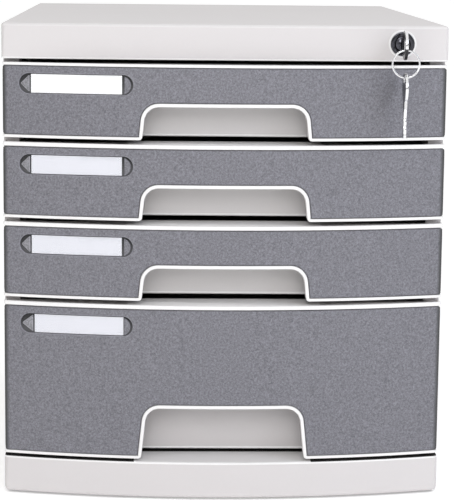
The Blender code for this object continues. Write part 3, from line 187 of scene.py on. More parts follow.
# %% Lay the floor
FLOOR_HALF = 30.0
FLOOR_PAINT, FLOOR_ROUGH, FLOOR_GLOSS, FLOOR_GLOW = 0.95, 0.9, 0.1, 0.24
SQUARE = [(-1, -1), (1, -1), (1, 1), (-1, 1)]


def make_floor():
    mesh = bpy.data.meshes.new("floor")
    mesh.from_pydata([(x * FLOOR_HALF, y * FLOOR_HALF, 0) for x, y in SQUARE], [], [(0, 1, 2, 3)])
    floor = bpy.data.objects.new("floor", mesh)
    bpy.context.scene.collection.objects.link(floor)
    material = bpy.data.materials.new("floor_paper")
    material.use_nodes = True
    shader = material.node_tree.nodes["Principled BSDF"]
    shader.inputs["Base Color"].default_value = (FLOOR_PAINT, FLOOR_PAINT, FLOOR_PAINT, 1)
    shader.inputs["Roughness"].default_value = FLOOR_ROUGH
    shader.inputs["Specular IOR Level"].default_value = FLOOR_GLOSS
    shader.inputs["Emission Color"].default_value = (*WHITE, 1)
    shader.inputs["Emission Strength"].default_value = FLOOR_GLOW
    mesh.materials.append(material)
    return floor


floor = make_floor()

# %% [markdown]
# ## Effects that several materials share
#
# Moulded plastic is never a flat colour. Seen close, it has a fine grain pressed in by the mould, and its
# tone drifts a little from place to place. Each effect is a node group with named sockets, so that every
# material can place it with its own values. The group only puts out numbers; the Principled shader stays in
# the material.

# %% Make the helpers for groups
def new_group(name, inputs, outputs):
    """A shader node group with float or vector sockets, and its input and output nodes."""
    group = bpy.data.node_groups.new(name, "ShaderNodeTree")
    for label, kind, value in inputs:
        socket = group.interface.new_socket(label, in_out="INPUT", socket_type=kind)
        if kind == "NodeSocketFloat":
            socket.default_value = value
    for label, kind in outputs:
        group.interface.new_socket(label, in_out="OUTPUT", socket_type=kind)
    return group, group.nodes.new("NodeGroupInput"), group.nodes.new("NodeGroupOutput")


def add_noise(tree, vector, scale, detail=2.0, rough=0.5):
    """A 3-D noise read at a vector; scale may be a number or a socket."""
    noise = tree.nodes.new("ShaderNodeTexNoise")
    tree.links.new(vector, noise.inputs["Vector"])
    if isinstance(scale, (int, float)):
        noise.inputs["Scale"].default_value = scale
    else:
        tree.links.new(scale, noise.inputs["Scale"])
    noise.inputs["Detail"].default_value = detail
    noise.inputs["Roughness"].default_value = rough
    return noise.outputs[0]


print("a group has named sockets, and noise is read in three dimensions")

# %% Build the shared groups
FINE_DETAIL, FINE_ROUGH = 3.0, 0.7
COARSE_SCALE, COARSE_SHARE = 0.37, 0.35
SLOW_DETAIL, SLOW_ROUGH = 3.0, 0.6


def make_speckle_group():
    """Fine light and dark flecks, as in metallic paint: a mask about 0.5 and a height for bump."""
    group, given, out = new_group(
        "speckle",
        [("Vector", "NodeSocketVector", None), ("Scale", "NodeSocketFloat", 900.0),
         ("Contrast", "NodeSocketFloat", 1.0)],
        [("Mask", "NodeSocketFloat"), ("Height", "NodeSocketFloat")])
    fine = add_noise(group, given.outputs["Vector"], given.outputs["Scale"], FINE_DETAIL, FINE_ROUGH)
    wider = add_math(group, "MULTIPLY", given.outputs["Scale"], COARSE_SCALE)
    coarse = add_noise(group, given.outputs["Vector"], wider, 1.0)
    fine_part = add_math(group, "MULTIPLY", fine, 1 - COARSE_SHARE)
    both = add_math(group, "MULTIPLY_ADD", coarse, COARSE_SHARE, fine_part)
    spread = add_math(group, "MULTIPLY", add_math(group, "SUBTRACT", both, 0.5), given.outputs["Contrast"])
    mask = group.nodes.new("ShaderNodeClamp")
    group.links.new(add_math(group, "ADD", spread, 0.5), mask.inputs[0])
    group.links.new(mask.outputs[0], out.inputs["Mask"])
    group.links.new(fine, out.inputs["Height"])
    return group


def make_drift_group():
    """Slow change of tone across a moulding, from flow in the mould and handling: a mask about 0.5."""
    group, given, out = new_group(
        "tone_drift",
        [("Vector", "NodeSocketVector", None), ("Scale", "NodeSocketFloat", 12.0)],
        [("Mask", "NodeSocketFloat")])
    slow = add_noise(group, given.outputs["Vector"], given.outputs["Scale"], SLOW_DETAIL, SLOW_ROUGH)
    group.links.new(slow, out.inputs["Mask"])
    return group


speckle_group = make_speckle_group()
drift_group = make_drift_group()
print("groups:", [g.name for g in (speckle_group, drift_group)])

# %% [markdown]
# ## The finishes
#
# The shell, the frames and the trays are light, warm grey plastic with a satin grain. The drawer fronts are
# painted a speckled metallic grey. The labels are paper under a clear strip. The lock and the keys are
# plated. A finish is a function here, because a few of them share everything but their numbers.

# %% Make the helpers for finishes


def start_material(name):
    """A new material with its Principled shader and object coordinates."""
    material = bpy.data.materials.new(name)
    material.use_nodes = True
    tree = material.node_tree
    shader = tree.nodes["Principled BSDF"]
    place = tree.nodes.new("ShaderNodeTexCoord").outputs["Object"]
    return material, tree, shader, place


def add_group(tree, group, place, **values):
    node = tree.nodes.new("ShaderNodeGroup")
    node.node_tree = group
    tree.links.new(place, node.inputs["Vector"])
    for label, value in values.items():
        node.inputs[label].default_value = value
    return node


def blend_colours(tree, mask, dark, light):
    """Colours between two ends, by a mask."""
    mix = tree.nodes.new("ShaderNodeMix")
    mix.data_type = "RGBA"
    colours = [s for s in mix.inputs if s.type == "RGBA"]
    colours[0].default_value = (*dark, 1)
    colours[1].default_value = (*light, 1)
    tree.links.new(mask, mix.inputs[0])
    return next(s for s in mix.outputs if s.type == "RGBA")


def spread_values(tree, mask, low, high):
    """Values between two ends, by a mask."""
    node = tree.nodes.new("ShaderNodeMapRange")
    tree.links.new(mask, node.inputs["Value"])
    node.inputs["To Min"].default_value = low
    node.inputs["To Max"].default_value = high
    return node.outputs["Result"]


def add_bump(tree, shader, height, distance, strength):
    bump = tree.nodes.new("ShaderNodeBump")
    bump.inputs["Distance"].default_value = distance
    bump.inputs["Strength"].default_value = strength
    tree.links.new(height, bump.inputs["Height"])
    tree.links.new(bump.outputs["Normal"], shader.inputs["Normal"])


def read_mark(tree, name):
    """A number stored on the piece's points."""
    node = tree.nodes.new("ShaderNodeAttribute")
    node.attribute_name = name
    return node.outputs["Fac"]


print("helpers for colours, values, bump and marks")

# %% Write the plastic and the paint
GRAIN_SHARE, GRAIN_BUMP, DRIFT_SCALE, SATIN_SPREAD = 0.6, 0.5, 14.0, 0.05
FLECK_SCALE, FLECK_CONTRAST, FLECK_DEPTH, FLECK_BUMP, FLECK_SPREAD = 2000.0, 4.2, 0.00012, 0.6, 0.08
EDGE_LIGHT_SHARE, PAINT_METAL = 0.5, 0.25


def make_moulded(name, dark, light, grain_scale, grain_depth, rough, gloss=0.5):
    """Satin moulded plastic: fine grain, slow drift of tone."""
    material, tree, shader, place = start_material(name)
    grain = add_group(tree, speckle_group, place, Scale=grain_scale)
    drift = add_group(tree, drift_group, place, Scale=DRIFT_SCALE)
    drift_part = add_math(tree, "MULTIPLY", drift.outputs["Mask"], 1 - GRAIN_SHARE)
    tone = add_math(tree, "MULTIPLY_ADD", grain.outputs["Mask"], GRAIN_SHARE, drift_part)
    tree.links.new(blend_colours(tree, tone, dark, light), shader.inputs["Base Color"])
    roughness = spread_values(tree, drift.outputs["Mask"], rough - SATIN_SPREAD, rough + SATIN_SPREAD)
    tree.links.new(roughness, shader.inputs["Roughness"])
    shader.inputs["Specular IOR Level"].default_value = gloss
    add_bump(tree, shader, grain.outputs["Height"], grain_depth, GRAIN_BUMP)
    return material


def make_painted(name, dark, light, shade_tone, rough):
    """Metallic paint over a fine grain: a painted highlight on edges marked above zero and painted shade on
    those below it, and a second colour mixed in by a mark.
    """
    material, tree, shader, place = start_material(name)
    flecks = add_group(tree, speckle_group, place, Scale=FLECK_SCALE, Contrast=FLECK_CONTRAST)
    # The edge mark adds a painted highlight where it is above zero and painted shade where it is below.
    edge_lit_flecks = add_math(tree, "MULTIPLY_ADD", read_mark(tree, "edge"), EDGE_LIGHT_SHARE, flecks.outputs["Mask"])
    paint = blend_colours(tree, edge_lit_flecks, dark, light)
    mix = tree.nodes.new("ShaderNodeMix")
    mix.data_type = "RGBA"
    colours = [s for s in mix.inputs if s.type == "RGBA"]
    # A second mark mixes in another colour: painted shade at the panels' ends, lighter painted light at the
    # label slots' foot.
    tree.links.new(read_mark(tree, "shade_tone"), mix.inputs[0])
    tree.links.new(paint, colours[0])
    colours[1].default_value = (*shade_tone, 1)
    tree.links.new(next(s for s in mix.outputs if s.type == "RGBA"), shader.inputs["Base Color"])
    roughness = spread_values(tree, flecks.outputs["Mask"], rough + FLECK_SPREAD, rough - FLECK_SPREAD)
    tree.links.new(roughness, shader.inputs["Roughness"])
    shader.inputs["Metallic"].default_value = PAINT_METAL
    add_bump(tree, shader, flecks.outputs["Height"], FLECK_DEPTH, FLECK_BUMP)
    return material


print("kinds of finish: moulded and painted")

# %% Write the metal, the paper and the clear strip
RUB_CONTRAST, RUB_LOW, RUB_HIGH, RUB_DEPTH, RUB_BUMP = 1.6, 0.7, 1.3, 0.00003, 0.4
FIBRE_SCALE, FIBRE_CONTRAST, FIBRE_DEPTH, FIBRE_BUMP, PAPER_ROUGH = 1400.0, 1.5, 0.00004, 0.4, 0.85
CLEAR_DRIFT, CLEAR_ROUGH, CLEAR_TINT, CLEAR_ALPHA = 40.0, (0.05, 0.16), (0.95, 0.96, 0.98, 1), 0.10


def make_metal(name, dark, light, rough, scratch_scale):
    """Plated or bare metal with faint rub marks."""
    material, tree, shader, place = start_material(name)
    rubs_and_edge_light = add_group(tree, speckle_group, place, Scale=scratch_scale, Contrast=RUB_CONTRAST)
    tree.links.new(blend_colours(tree, rubs_and_edge_light.outputs["Mask"], dark, light), shader.inputs["Base Color"])
    roughness = spread_values(tree, rubs_and_edge_light.outputs["Mask"], rough * RUB_LOW, rough * RUB_HIGH)
    tree.links.new(roughness, shader.inputs["Roughness"])
    shader.inputs["Metallic"].default_value = 1.0
    add_bump(tree, shader, rubs_and_edge_light.outputs["Height"], RUB_DEPTH, RUB_BUMP)
    return material


def make_paper(name, dark, light):
    """Card for the labels: soft fibres, no gloss."""
    material, tree, shader, place = start_material(name)
    fibre = add_group(tree, speckle_group, place, Scale=FIBRE_SCALE, Contrast=FIBRE_CONTRAST)
    tree.links.new(blend_colours(tree, fibre.outputs["Mask"], dark, light), shader.inputs["Base Color"])
    shader.inputs["Roughness"].default_value = PAPER_ROUGH
    add_bump(tree, shader, fibre.outputs["Height"], FIBRE_DEPTH, FIBRE_BUMP)
    return material


def make_clear(name):
    """Clear strip: mostly see-through, with a polished face."""
    material, tree, shader, place = start_material(name)
    drift = add_group(tree, drift_group, place, Scale=CLEAR_DRIFT)
    tree.links.new(spread_values(tree, drift.outputs["Mask"], *CLEAR_ROUGH), shader.inputs["Roughness"])
    shader.inputs["Base Color"].default_value = CLEAR_TINT
    shader.inputs["Alpha"].default_value = CLEAR_ALPHA
    return material


print("kinds of finish: metal, paper and clear")

# %% Mix the finishes
GRAIN, COARSE = 1500.0, 900.0
# The colour that the panels' ends are darkened to: painted shade.
PANEL_END_SHADE = (0.060, 0.060, 0.062)
# The lighter black at the foot of the label slots: painted light.
SLOT_FOOT_LIT_BLACK = (0.085, 0.084, 0.090)

finishes = {
    # name, dark and light tone, size and depth of the grain, roughness, gloss
    "shell": make_moulded("shell_plastic", (0.61, 0.58, 0.578), (0.66, 0.634, 0.634), GRAIN, 6e-5, 0.45),
    # The rim finish is the shell's own plastic made lighter: a painted highlight for the beads and the bright
    # edge lines.
    "rim": make_moulded("rim_painted_highlight", (0.80, 0.785, 0.78), (0.86, 0.85, 0.845), GRAIN, 3e-5, 0.32),
    # The edge finish is the shell made lighter: a painted highlight along the lid's top edge.
    "edge": make_moulded("shell_edge_painted_highlight", (0.655, 0.63, 0.628), (0.705, 0.683, 0.68), GRAIN, 3e-5, 0.40),
    # The pocket finish is the shell painted lighter as painted light; the lip finish is a painted highlight.
    "pocket": make_moulded("pocket_painted_light", (0.705, 0.68, 0.674), (0.765, 0.742, 0.735), GRAIN, 4e-5, 0.42),
    "lip": make_moulded("lip_painted_highlight", (0.94, 0.935, 0.93), (0.97, 0.965, 0.96), GRAIN, 2e-5, 0.30),
    # A black finish for the base's ledge under the lowest drawer: painted shade in the slit.
    "felt": make_moulded("slit_painted_shade_black", (0.022, 0.021, 0.02), (0.034, 0.032, 0.031), GRAIN, 3e-5, 0.8, 0.1),
    "rubber": make_moulded("foot_rubber", (0.022, 0.022, 0.022), (0.045, 0.045, 0.045), COARSE, 1e-4, 0.75),
    # name, dark and light fleck, second colour mixed in by a mark (painted shade at the panels' ends, painted
    # light at the slots' foot), roughness
    "panel": make_painted("panel_paint", (0.110, 0.108, 0.122), (0.250, 0.247, 0.277), PANEL_END_SHADE, 0.46),
    # The tab's paint is the panel's made lighter: a painted sheen.
    "tab": make_painted("tab_painted_sheen", (0.150, 0.148, 0.160), (0.330, 0.326, 0.352), PANEL_END_SHADE, 0.42),
    # The groove finish is near black: painted shade for the inside of the label recess.
    "groove": make_painted("slot_painted_shade", (0.010, 0.010, 0.011), (0.022, 0.022, 0.024), SLOT_FOOT_LIT_BLACK, 0.50),
    # name, dark and light rub marks, roughness, size of the marks
    "chrome": make_metal("plated_chrome", (0.78, 0.78, 0.79), (0.95, 0.95, 0.96), 0.16, 900.0),
    # Nearly black plating for the keys' flat faces: a painted dark reflection.
    "dark_reflection_face": make_metal("plated_painted_dark_reflection", (0.012, 0.012, 0.013), (0.07, 0.07, 0.073), 0.24, 700.0),
    # The lock's plating is made nearly black: a painted dark reflection.
    "lock": make_metal("lock_painted_dark_reflection", (0.012, 0.012, 0.014), (0.13, 0.13, 0.15), 0.12, 600.0),
    "steel": make_metal("zinc_steel", (0.48, 0.49, 0.50), (0.64, 0.65, 0.66), 0.36, 700.0),
    # name, dark and light fibres
    "card_top": make_paper("card_white", (0.90, 0.90, 0.90), (0.97, 0.97, 0.97)),
    "card": make_paper("card_paper", (0.66, 0.66, 0.71), (0.74, 0.74, 0.79)),
    "clear": make_clear("clear_strip"),
}
print(len(finishes), "finishes")

# %% [markdown]
# ## Finishes for the CAD solids
#
# Every solid already has the right shape for what it is inside the cabinet. Here each one gets its finish
# by the slot that the record gives it, and a few by name.

# %% Give the CAD solids their finishes
FINISH_OF_SLOT = {
    "light_plastic": "shell", "dark_plastic": "panel", "label_card": "card", "clear_plastic": "clear",
    "chrome": "chrome", "zinc_steel": "steel", "rubber": "rubber",
}
# The lock's bezel and plug get the dark plating, a painted dark reflection.
FINISH_OF_NODE = {"drawer_1_label_card": "card_top", "lock_housing": "lock", "lock_plug": "lock"}
slot_of = {part["node"]: part["material_slot"] for part in frame["record"]["subparts"]}
for name, solid in nodes.items():
    finish = finishes[FINISH_OF_NODE.get(name, FINISH_OF_SLOT[slot_of[name]])]
    for place in solid.material_slots:
        place.material = finish
print("finishes on", len(nodes), "solids")

# %% [markdown]
# ## The line that the fronts follow
#
# Seen from above, a drawer front is a shallow parabola with two small round corners and short straight
# ends. Rims, panels and labels all lie on that line, so it is worth having once: a table of points along
# it, with the distance travelled and the direction that points into the cabinet. A shape can then be drawn
# flat, as on paper, in (distance, height), and be wrapped onto the front by looking its points up in the
# table.

# %% Round the corners of an outline
def rounded(corners, steps=8):
    """An outline through corners of (u, v, radius), each an arc, or a sharp corner where its radius is 0."""
    points = []
    for i, (u, v, radius) in enumerate(corners):
        corner = Vector((u, v))
        if not radius:
            points.append(corner)
            continue
        before = (Vector(corners[i - 1][:2]) - corner).normalized()
        after = (Vector(corners[(i + 1) % len(corners)][:2]) - corner).normalized()
        half = before.angle(after) / 2
        start = corner + before * radius / math.tan(half)
        centre = corner + (before + after).normalized() * radius / math.sin(half)
        end = corner + after * radius / math.tan(half)
        sweep = (start - centre).angle_signed(end - centre)
        for step in range(steps + 1):
            turn = Matrix.Rotation(-sweep * step / steps, 2)
            points.append(centre + turn @ (start - centre))
    return [tuple(point) for point in points]


print("a square with round corners:", len(rounded([(u, v, 0.5) for u, v in SQUARE])), "points")

# %% Follow the bow
import numpy as np

HALF_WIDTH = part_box("drawer_1_fascia")[1].x
BOW = 20.4 * MM
FRONT_DEPTH = 10.0 * MM
END_CORNER = 2.0 * MM
SPACING = 2.5 * MM


def bow_at(x):
    return -BOW * (1 - (x / HALF_WIDTH) ** 2)


def trace_front():
    """Points along the plan of a front, from its left end round to its right end."""
    count = round(2 * HALF_WIDTH / SPACING)
    inner = [-HALF_WIDTH + 2 * HALF_WIDTH * i / count for i in range(1, count)]
    corners = [(-HALF_WIDTH, FRONT_DEPTH, 0), (-HALF_WIDTH, 0, END_CORNER)]
    corners += [(x, bow_at(x), 0) for x in inner]
    corners += [(HALF_WIDTH, 0, END_CORNER), (HALF_WIDTH, FRONT_DEPTH, 0)]
    return np.array(rounded(corners, 6))


line = trace_front()
steps = np.linalg.norm(np.diff(line, axis=0), axis=1)
line_u = np.concatenate([[0], np.cumsum(steps)])
tangents = np.gradient(line, line_u, axis=0)
tangents /= np.linalg.norm(tangents, axis=1)[:, None]
inward = np.stack([-tangents[:, 1], tangents[:, 0]], axis=1)
LINE_LENGTH = line_u[-1]
print("the front's line is", round(LINE_LENGTH / MM, 1), "mm long, with", len(line), "points")

# %% Find a place on the front
FRONT_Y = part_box("drawer_1_fascia")[0].y + BOW
HAIR = 0.01 * MM


def along(x):
    """Distance along the line where it passes x, for points of the bow itself."""
    front = np.abs(line[:, 0]) < HALF_WIDTH - HAIR
    return float(np.interp(x, line[front, 0], line_u[front]))


def unrolled(points):
    """Points of (x, z) as (distance along the line, z)."""
    return [(along(x), z) for x, z in points]


def look_up(table, u):
    return np.array([np.interp(u, line_u, table[:, 0]), np.interp(u, line_u, table[:, 1])])


def on_front(u, z, depth=0.0):
    """The point at distance u along the line and height z, set back by depth."""
    x, y = look_up(line, u) + look_up(inward, u) * depth
    return Vector((x, FRONT_Y + y, z))


print("the middle of the front, in mm:", [round(x / MM, 1) for x in on_front(along(0.0), 0.0)])

# %% [markdown]
# ## A plate that follows the front
#
# The dark panels, the label pads and the slot liners are all plates with softly rounded edges. A plate is
# drawn as a flat outline, wrapped onto the front, and given rings of points that turn through a quarter
# circle at its edge. The flat face inside the last ring is filled by a constrained Delaunay triangulation,
# which keeps the outline's edges and lets us sprinkle extra points, so that the face bends with the bow.

# %% Refine an outline and move it in
MITRE_LIMIT = 0.3
SAME_POINT = 0.02 * MM


def resampled(outline, spacing=SPACING):
    """The closed outline with extra points, so that no side is longer than the spacing."""
    points = []
    for one, two in zip(outline, outline[1:] + outline[:1]):
        one, two = np.array(one), np.array(two)
        count = max(1, math.ceil(np.linalg.norm(two - one) / spacing))
        points += [tuple(one + (two - one) * i / count) for i in range(count)]
    kept = [p for p, q in zip(points, points[1:] + points[:1]) if math.dist(p, q) > SAME_POINT]
    return np.array(kept)


def moved_in(outline, distance):
    """The counterclockwise outline with every side moved inwards."""
    before = outline - np.roll(outline, 1, axis=0)
    after = np.roll(outline, -1, axis=0) - outline
    normals = []
    for side in (before, after):
        side = side / np.linalg.norm(side, axis=1)[:, None]
        normals.append(np.stack([-side[:, 1], side[:, 0]], axis=1))
    middle = normals[0] + normals[1]
    middle /= np.linalg.norm(middle, axis=1)[:, None]
    reach = distance / np.clip((middle * normals[0]).sum(axis=1), MITRE_LIMIT, 1)
    return outline + middle * reach[:, None]


square = resampled([(u * SPACING, v * SPACING) for u, v in SQUARE])
inset = moved_in(square, SPACING / 2)
print("a square", round(np.ptp(square) / MM, 1), "mm across, and moved in:", round(np.ptp(inset) / MM, 1))

# %% Fill a flat face
import bmesh
from mathutils.geometry import delaunay_2d_cdt

FILL_GRID = 5.0 * MM
FILL_MARGIN = FILL_GRID / 12
FILL_CLOSE = 1e-5


def is_inside(points, outline):
    """Which points lie inside a closed outline, by counting the sides that a ray crosses."""
    inside = np.zeros(len(points), bool)
    for (ax, ay), (bx, by) in zip(outline, np.roll(outline, -1, axis=0)):
        crosses = (ay > points[:, 1]) != (by > points[:, 1])
        with np.errstate(divide="ignore", invalid="ignore"):
            at = (bx - ax) * (points[:, 1] - ay) / (by - ay) + ax
        inside ^= crosses & (points[:, 0] < at)
    return inside


def fill(bm, loops, rings, place, depth, columns=()):
    """Triangles inside the first loop and outside the others, joined to the rings of verts already there."""
    flat = [tuple(p) for loop in loops for p in loop]
    edges, start = [], 0
    for loop in loops:
        count = len(loop)
        edges += [(start + i, start + (i + 1) % count) for i in range(count)]
        start += count
    low, high = loops[0].min(axis=0), loops[0].max(axis=0)
    us = [*np.arange(low[0] + FILL_GRID / 2, high[0], FILL_GRID), *columns]
    vs = np.arange(low[1] + FILL_GRID / 2, high[1], FILL_GRID)
    grid = np.array([(u, v) for u in us for v in vs]).reshape(-1, 2)
    if len(grid):
        gaps = [np.linalg.norm(grid[:, None] - loop[None], axis=2).min(axis=1) for loop in loops]
        keep = is_inside(grid, loops[0]) & (np.min(gaps, axis=0) > FILL_MARGIN)
        for hole in loops[1:]:
            keep &= ~is_inside(grid, hole)
        flat += [tuple(p) for p in grid[keep]]
    scaled = [Vector(p) / MM for p in flat]
    points, _, triangles, origins, _, _ = delaunay_2d_cdt(scaled, edges, [], 0, FILL_CLOSE)
    verts = [v for ring in rings for v in ring]
    found = []
    for point, origin in zip(points, origins):
        known = [i for i in origin if i < len(verts)]
        found.append(verts[known[0]] if known else bm.verts.new(place(point.x * MM, point.y * MM, depth)))
    centres = np.array([sum((points[i] for i in t), Vector((0, 0))) / 3 for t in triangles]) * MM
    keep = is_inside(centres, loops[0])
    for hole in loops[1:]:
        keep &= ~is_inside(centres, hole)
    for triangle, wanted in zip(triangles, keep):
        corners = [found[i] for i in triangle]
        if wanted and len(set(corners)) == 3:
            bm.faces.new(corners)


print("faces are filled on a grid of", FILL_GRID / MM, "mm")

# %% Turn an edge
EDGE_STEPS = 4
EDGE_MARGIN = 0.3


def bridge(bm, one, two):
    """Faces from one closed ring of verts to the next."""
    for i in range(len(one)):
        j = (i + 1) % len(one)
        bm.faces.new((one[i], one[j], two[j], two[i]))


def rounded_rings(bm, outline, place, front, edge, rubs_and_edge_light, outwards=False):
    """Rings of an edge that turns from the wall to the face; the mark `edge` on its points says how much
    painted highlight or, below zero, painted shade the paint gets there. Gives the face's flat loop and the
    verts of wall and face."""
    mark = bm.verts.layers.float.get("edge") or bm.verts.layers.float.new("edge")
    rings, loops = [], []
    for step in range(EDGE_STEPS + 2):
        angle = min(step, EDGE_STEPS) / EDGE_STEPS * math.pi / 2
        inset = edge * (1 - math.cos(angle)) + (edge * EDGE_MARGIN if step > EDGE_STEPS else 0)
        loop = moved_in(outline, -inset if outwards else inset)
        depth = front + edge * (1 - math.sin(angle))
        rings.append([bm.verts.new(place(u, v, depth)) for u, v in loop])
        loops.append(loop)
        for v in rings[-1]:
            v[mark] = rubs_and_edge_light if step <= EDGE_STEPS else 0.0
        if step:
            bridge(bm, rings[-2], rings[-1])
    return loops[-1], rings[0], rings[-1]


print("an edge turns in", EDGE_STEPS, "steps")

# %% Put a piece on its body
def placed(name, mesh, body, slot):
    """A mesh as a piece on its body; the slot is not used."""
    piece = bpy.data.objects.new(name, mesh)
    scene.collection.objects.link(piece)
    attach(piece, body)
    return piece


def finished(name, bm, body, slot, finish):
    """A piece from a bmesh: smooth shaded, with its finish."""
    mesh = bpy.data.meshes.new(name)
    bmesh.ops.recalc_face_normals(bm, faces=bm.faces)
    bm.to_mesh(mesh)
    bm.free()
    mesh.shade_smooth()
    mesh.materials.append(finishes[finish])
    return placed(name, mesh, body, slot)


# %% Make plates
END_STRETCH = 15.0 * MM
# Near each end, where the panel turns the corner, its paint is darkened as painted shade.
END_SHADE_REACH, END_SHADE_FADE = 3.4 * MM, 2.2 * MM
END_SHADE_X = (HALF_WIDTH - END_SHADE_REACH, HALF_WIDTH - END_SHADE_REACH + END_SHADE_FADE)
END_COLUMNS = [float(u) for u in line_u if u < END_STRETCH or u > LINE_LENGTH - END_STRETCH]
END_COLUMNS += [along(side * x) for side in (-1, 1) for x in END_SHADE_X]


def add_plate(bm, outline, place, front, thickness, edge, recess=None, recess_depth=0.0, hole=None, rubs_and_edge_light=0.0,
              columns=()):
    """A plate with a rounded front edge; it may have a recess with a floor, and a hole right through."""
    outline = resampled(outline)
    face_loop, wall, face = rounded_rings(bm, outline, place, front, edge, rubs_and_edge_light)
    back = [bm.verts.new(place(u, v, front + thickness)) for u, v in outline]
    bridge(bm, wall, back)
    loops, faces, back_loops, backs = [face_loop], [face], [outline], [back]
    for opening, depth in ((recess, recess_depth), (hole, thickness)):
        if opening is None:
            continue
        opening = resampled(opening, SPACING / 2)
        # The mouth of a recess or hole gets a painted highlight along its rounded edge.
        mouth_loop, mouth_wall, mouth_face = rounded_rings(bm, opening, place, front, edge, 1.0, True)
        floor_ring = [bm.verts.new(place(u, v, front + depth)) for u, v in opening]
        bridge(bm, mouth_wall, floor_ring)
        if depth < thickness:
            fill(bm, [opening], [floor_ring], place, front + depth)
        else:
            back_loops.append(opening)
            backs.append(floor_ring)
        loops.append(mouth_loop)
        faces.append(mouth_face)
    fill(bm, loops, faces, place, front, columns)
    fill(bm, back_loops, backs, place, front + thickness, columns)


def make_plate(name, outline, bottom, front, thickness, edge, body, slot, finish, recess=None,
               recess_depth=0.0, rubs_and_edge_light=0.0):
    """A plate wrapped on the front of a drawer whose bottom edge is at a height."""
    bm = bmesh.new()
    add_plate(bm, outline, lambda u, v, depth: on_front(u, bottom + v, depth), front, thickness, edge,
              recess, recess_depth, rubs_and_edge_light=rubs_and_edge_light, columns=END_COLUMNS)
    return finished(name, bm, body, slot, finish)


print("columns of points near the ends:", len(END_COLUMNS))

# %% [markdown]
# ## The dark drawer panels
#
# Each drawer has a dark plate let into its light frame. It leaves the rims of the frame showing above and
# below, gives way to the finger notch in an arch, and has a round-ended recess for the label at its left.
# Its ends wrap round the corners of the front. The CAD has the same plate with coarser arcs and sharp
# edges, so this one replaces it: the outline is the same, and only its roundings are finer.

# %% Measure the fronts
NOTCH_HEIGHT, DEEP_NOTCH_HEIGHT = 23.0 * MM, 36.3 * MM

drawers = {}
for number in range(1, 5):
    low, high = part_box(f"drawer_{number}_front_frame")
    notch = DEEP_NOTCH_HEIGHT if number == 4 else NOTCH_HEIGHT
    drawers[number] = {"bottom": low.z, "height": high.z - low.z, "notch": notch}
print("front heights in mm:", [round(d["height"] / MM, 1) for d in drawers.values()])

# %% Draw the panel and its recess
SEAT, TOP_RIM, BOTTOM_RIM = 0.3 * MM, 2.9 * MM, 2.0 * MM
PANEL_CORNER, CORNER_REACH = 1.2 * MM, 0.98
NOTCH_HALF, NOTCH_DRAFT, NOTCH_RADIUS = 58.8 * MM, math.radians(6), 12.5 * MM
LABEL_DROP = 12.2 * MM
RECESS_LEFT, RECESS_RIGHT, RECESS_HEIGHT = -140.4 * MM, -62.65 * MM, 13.6 * MM
ROUND_END = 0.999


def notch_side(z, inset):
    """Half the notch's width at height z, for a line set in from the panel's edge."""
    return NOTCH_HALF - inset - (z - BOTTOM_RIM) * math.tan(NOTCH_DRAFT)


def panel_outline(height, notch):
    """Counterclockwise flat outline of the dark panel, in (distance, height)."""
    low, high = BOTTOM_RIM + SEAT, height - TOP_RIM - SEAT
    top = BOTTOM_RIM + notch + SEAT
    flat_end = HALF_WIDTH - PANEL_CORNER
    arch = rounded([
        (-notch_side(low, -SEAT), low, 0),
        (-notch_side(top, -SEAT), top, NOTCH_RADIUS + SEAT),
        (notch_side(top, -SEAT), top, NOTCH_RADIUS + SEAT),
        (notch_side(low, -SEAT), low, 0),
    ], 16)
    turns = [math.pi / 2 * i / 6 for i in range(7)]
    right = [(flat_end + PANEL_CORNER * math.sin(t) * CORNER_REACH, low + PANEL_CORNER * (1 - math.cos(t)))
             for t in turns]
    xz = [(-x, z) for x, z in reversed(right)] + arch + right
    xz += [(x, low + high - z) for x, z in reversed(right)]
    xz += [(-x, low + high - z) for x, z in right]
    flat = unrolled(xz)
    start, end = SEAT, LINE_LENGTH - SEAT
    right_end = [(end, low + PANEL_CORNER), (end, high - PANEL_CORNER)]
    left_end = [(start, high - PANEL_CORNER), (start, low + PANEL_CORNER)]
    half = len(right) * 2 + len(arch)
    return flat[:half] + right_end + flat[half:] + left_end


def strip_outline(left, right, middle, height, corner, steps=4):
    """Flat outline of a strip with round corners."""
    ends = {-1: left, 1: right}
    corners = [(ends[side], middle + t * height / 2, corner) for side, t in SQUARE]
    return unrolled(rounded(corners, steps))


def label_stadium(height):
    """Flat outline of the label recess with its round ends, and its middle height."""
    middle, radius = height - TOP_RIM - LABEL_DROP, RECESS_HEIGHT / 2
    return strip_outline(RECESS_LEFT, RECESS_RIGHT, middle, RECESS_HEIGHT, radius * ROUND_END, 14), middle


print("label recess:", len(label_stadium(drawers[1]["height"])[0]), "points")

# %% Make the dark panels
PANEL_EDGE, PANEL_THICK, RECESS_DEPTH = 0.45 * MM, 1.9 * MM, 1.4 * MM


def mark_shaded_ends(panel):
    """Store on the points how much painted shade darkens the paint: nothing in front, all where the plate
    turns the corner.
    """
    xs = np.array([v.co.x for v in panel.data.vertices])
    shade_tone = np.clip((np.abs(xs) - END_SHADE_X[0]) / END_SHADE_FADE, 0, 1)
    panel.data.attributes.new("shade_tone", "FLOAT", "POINT").data.foreach_set("value", shade_tone)


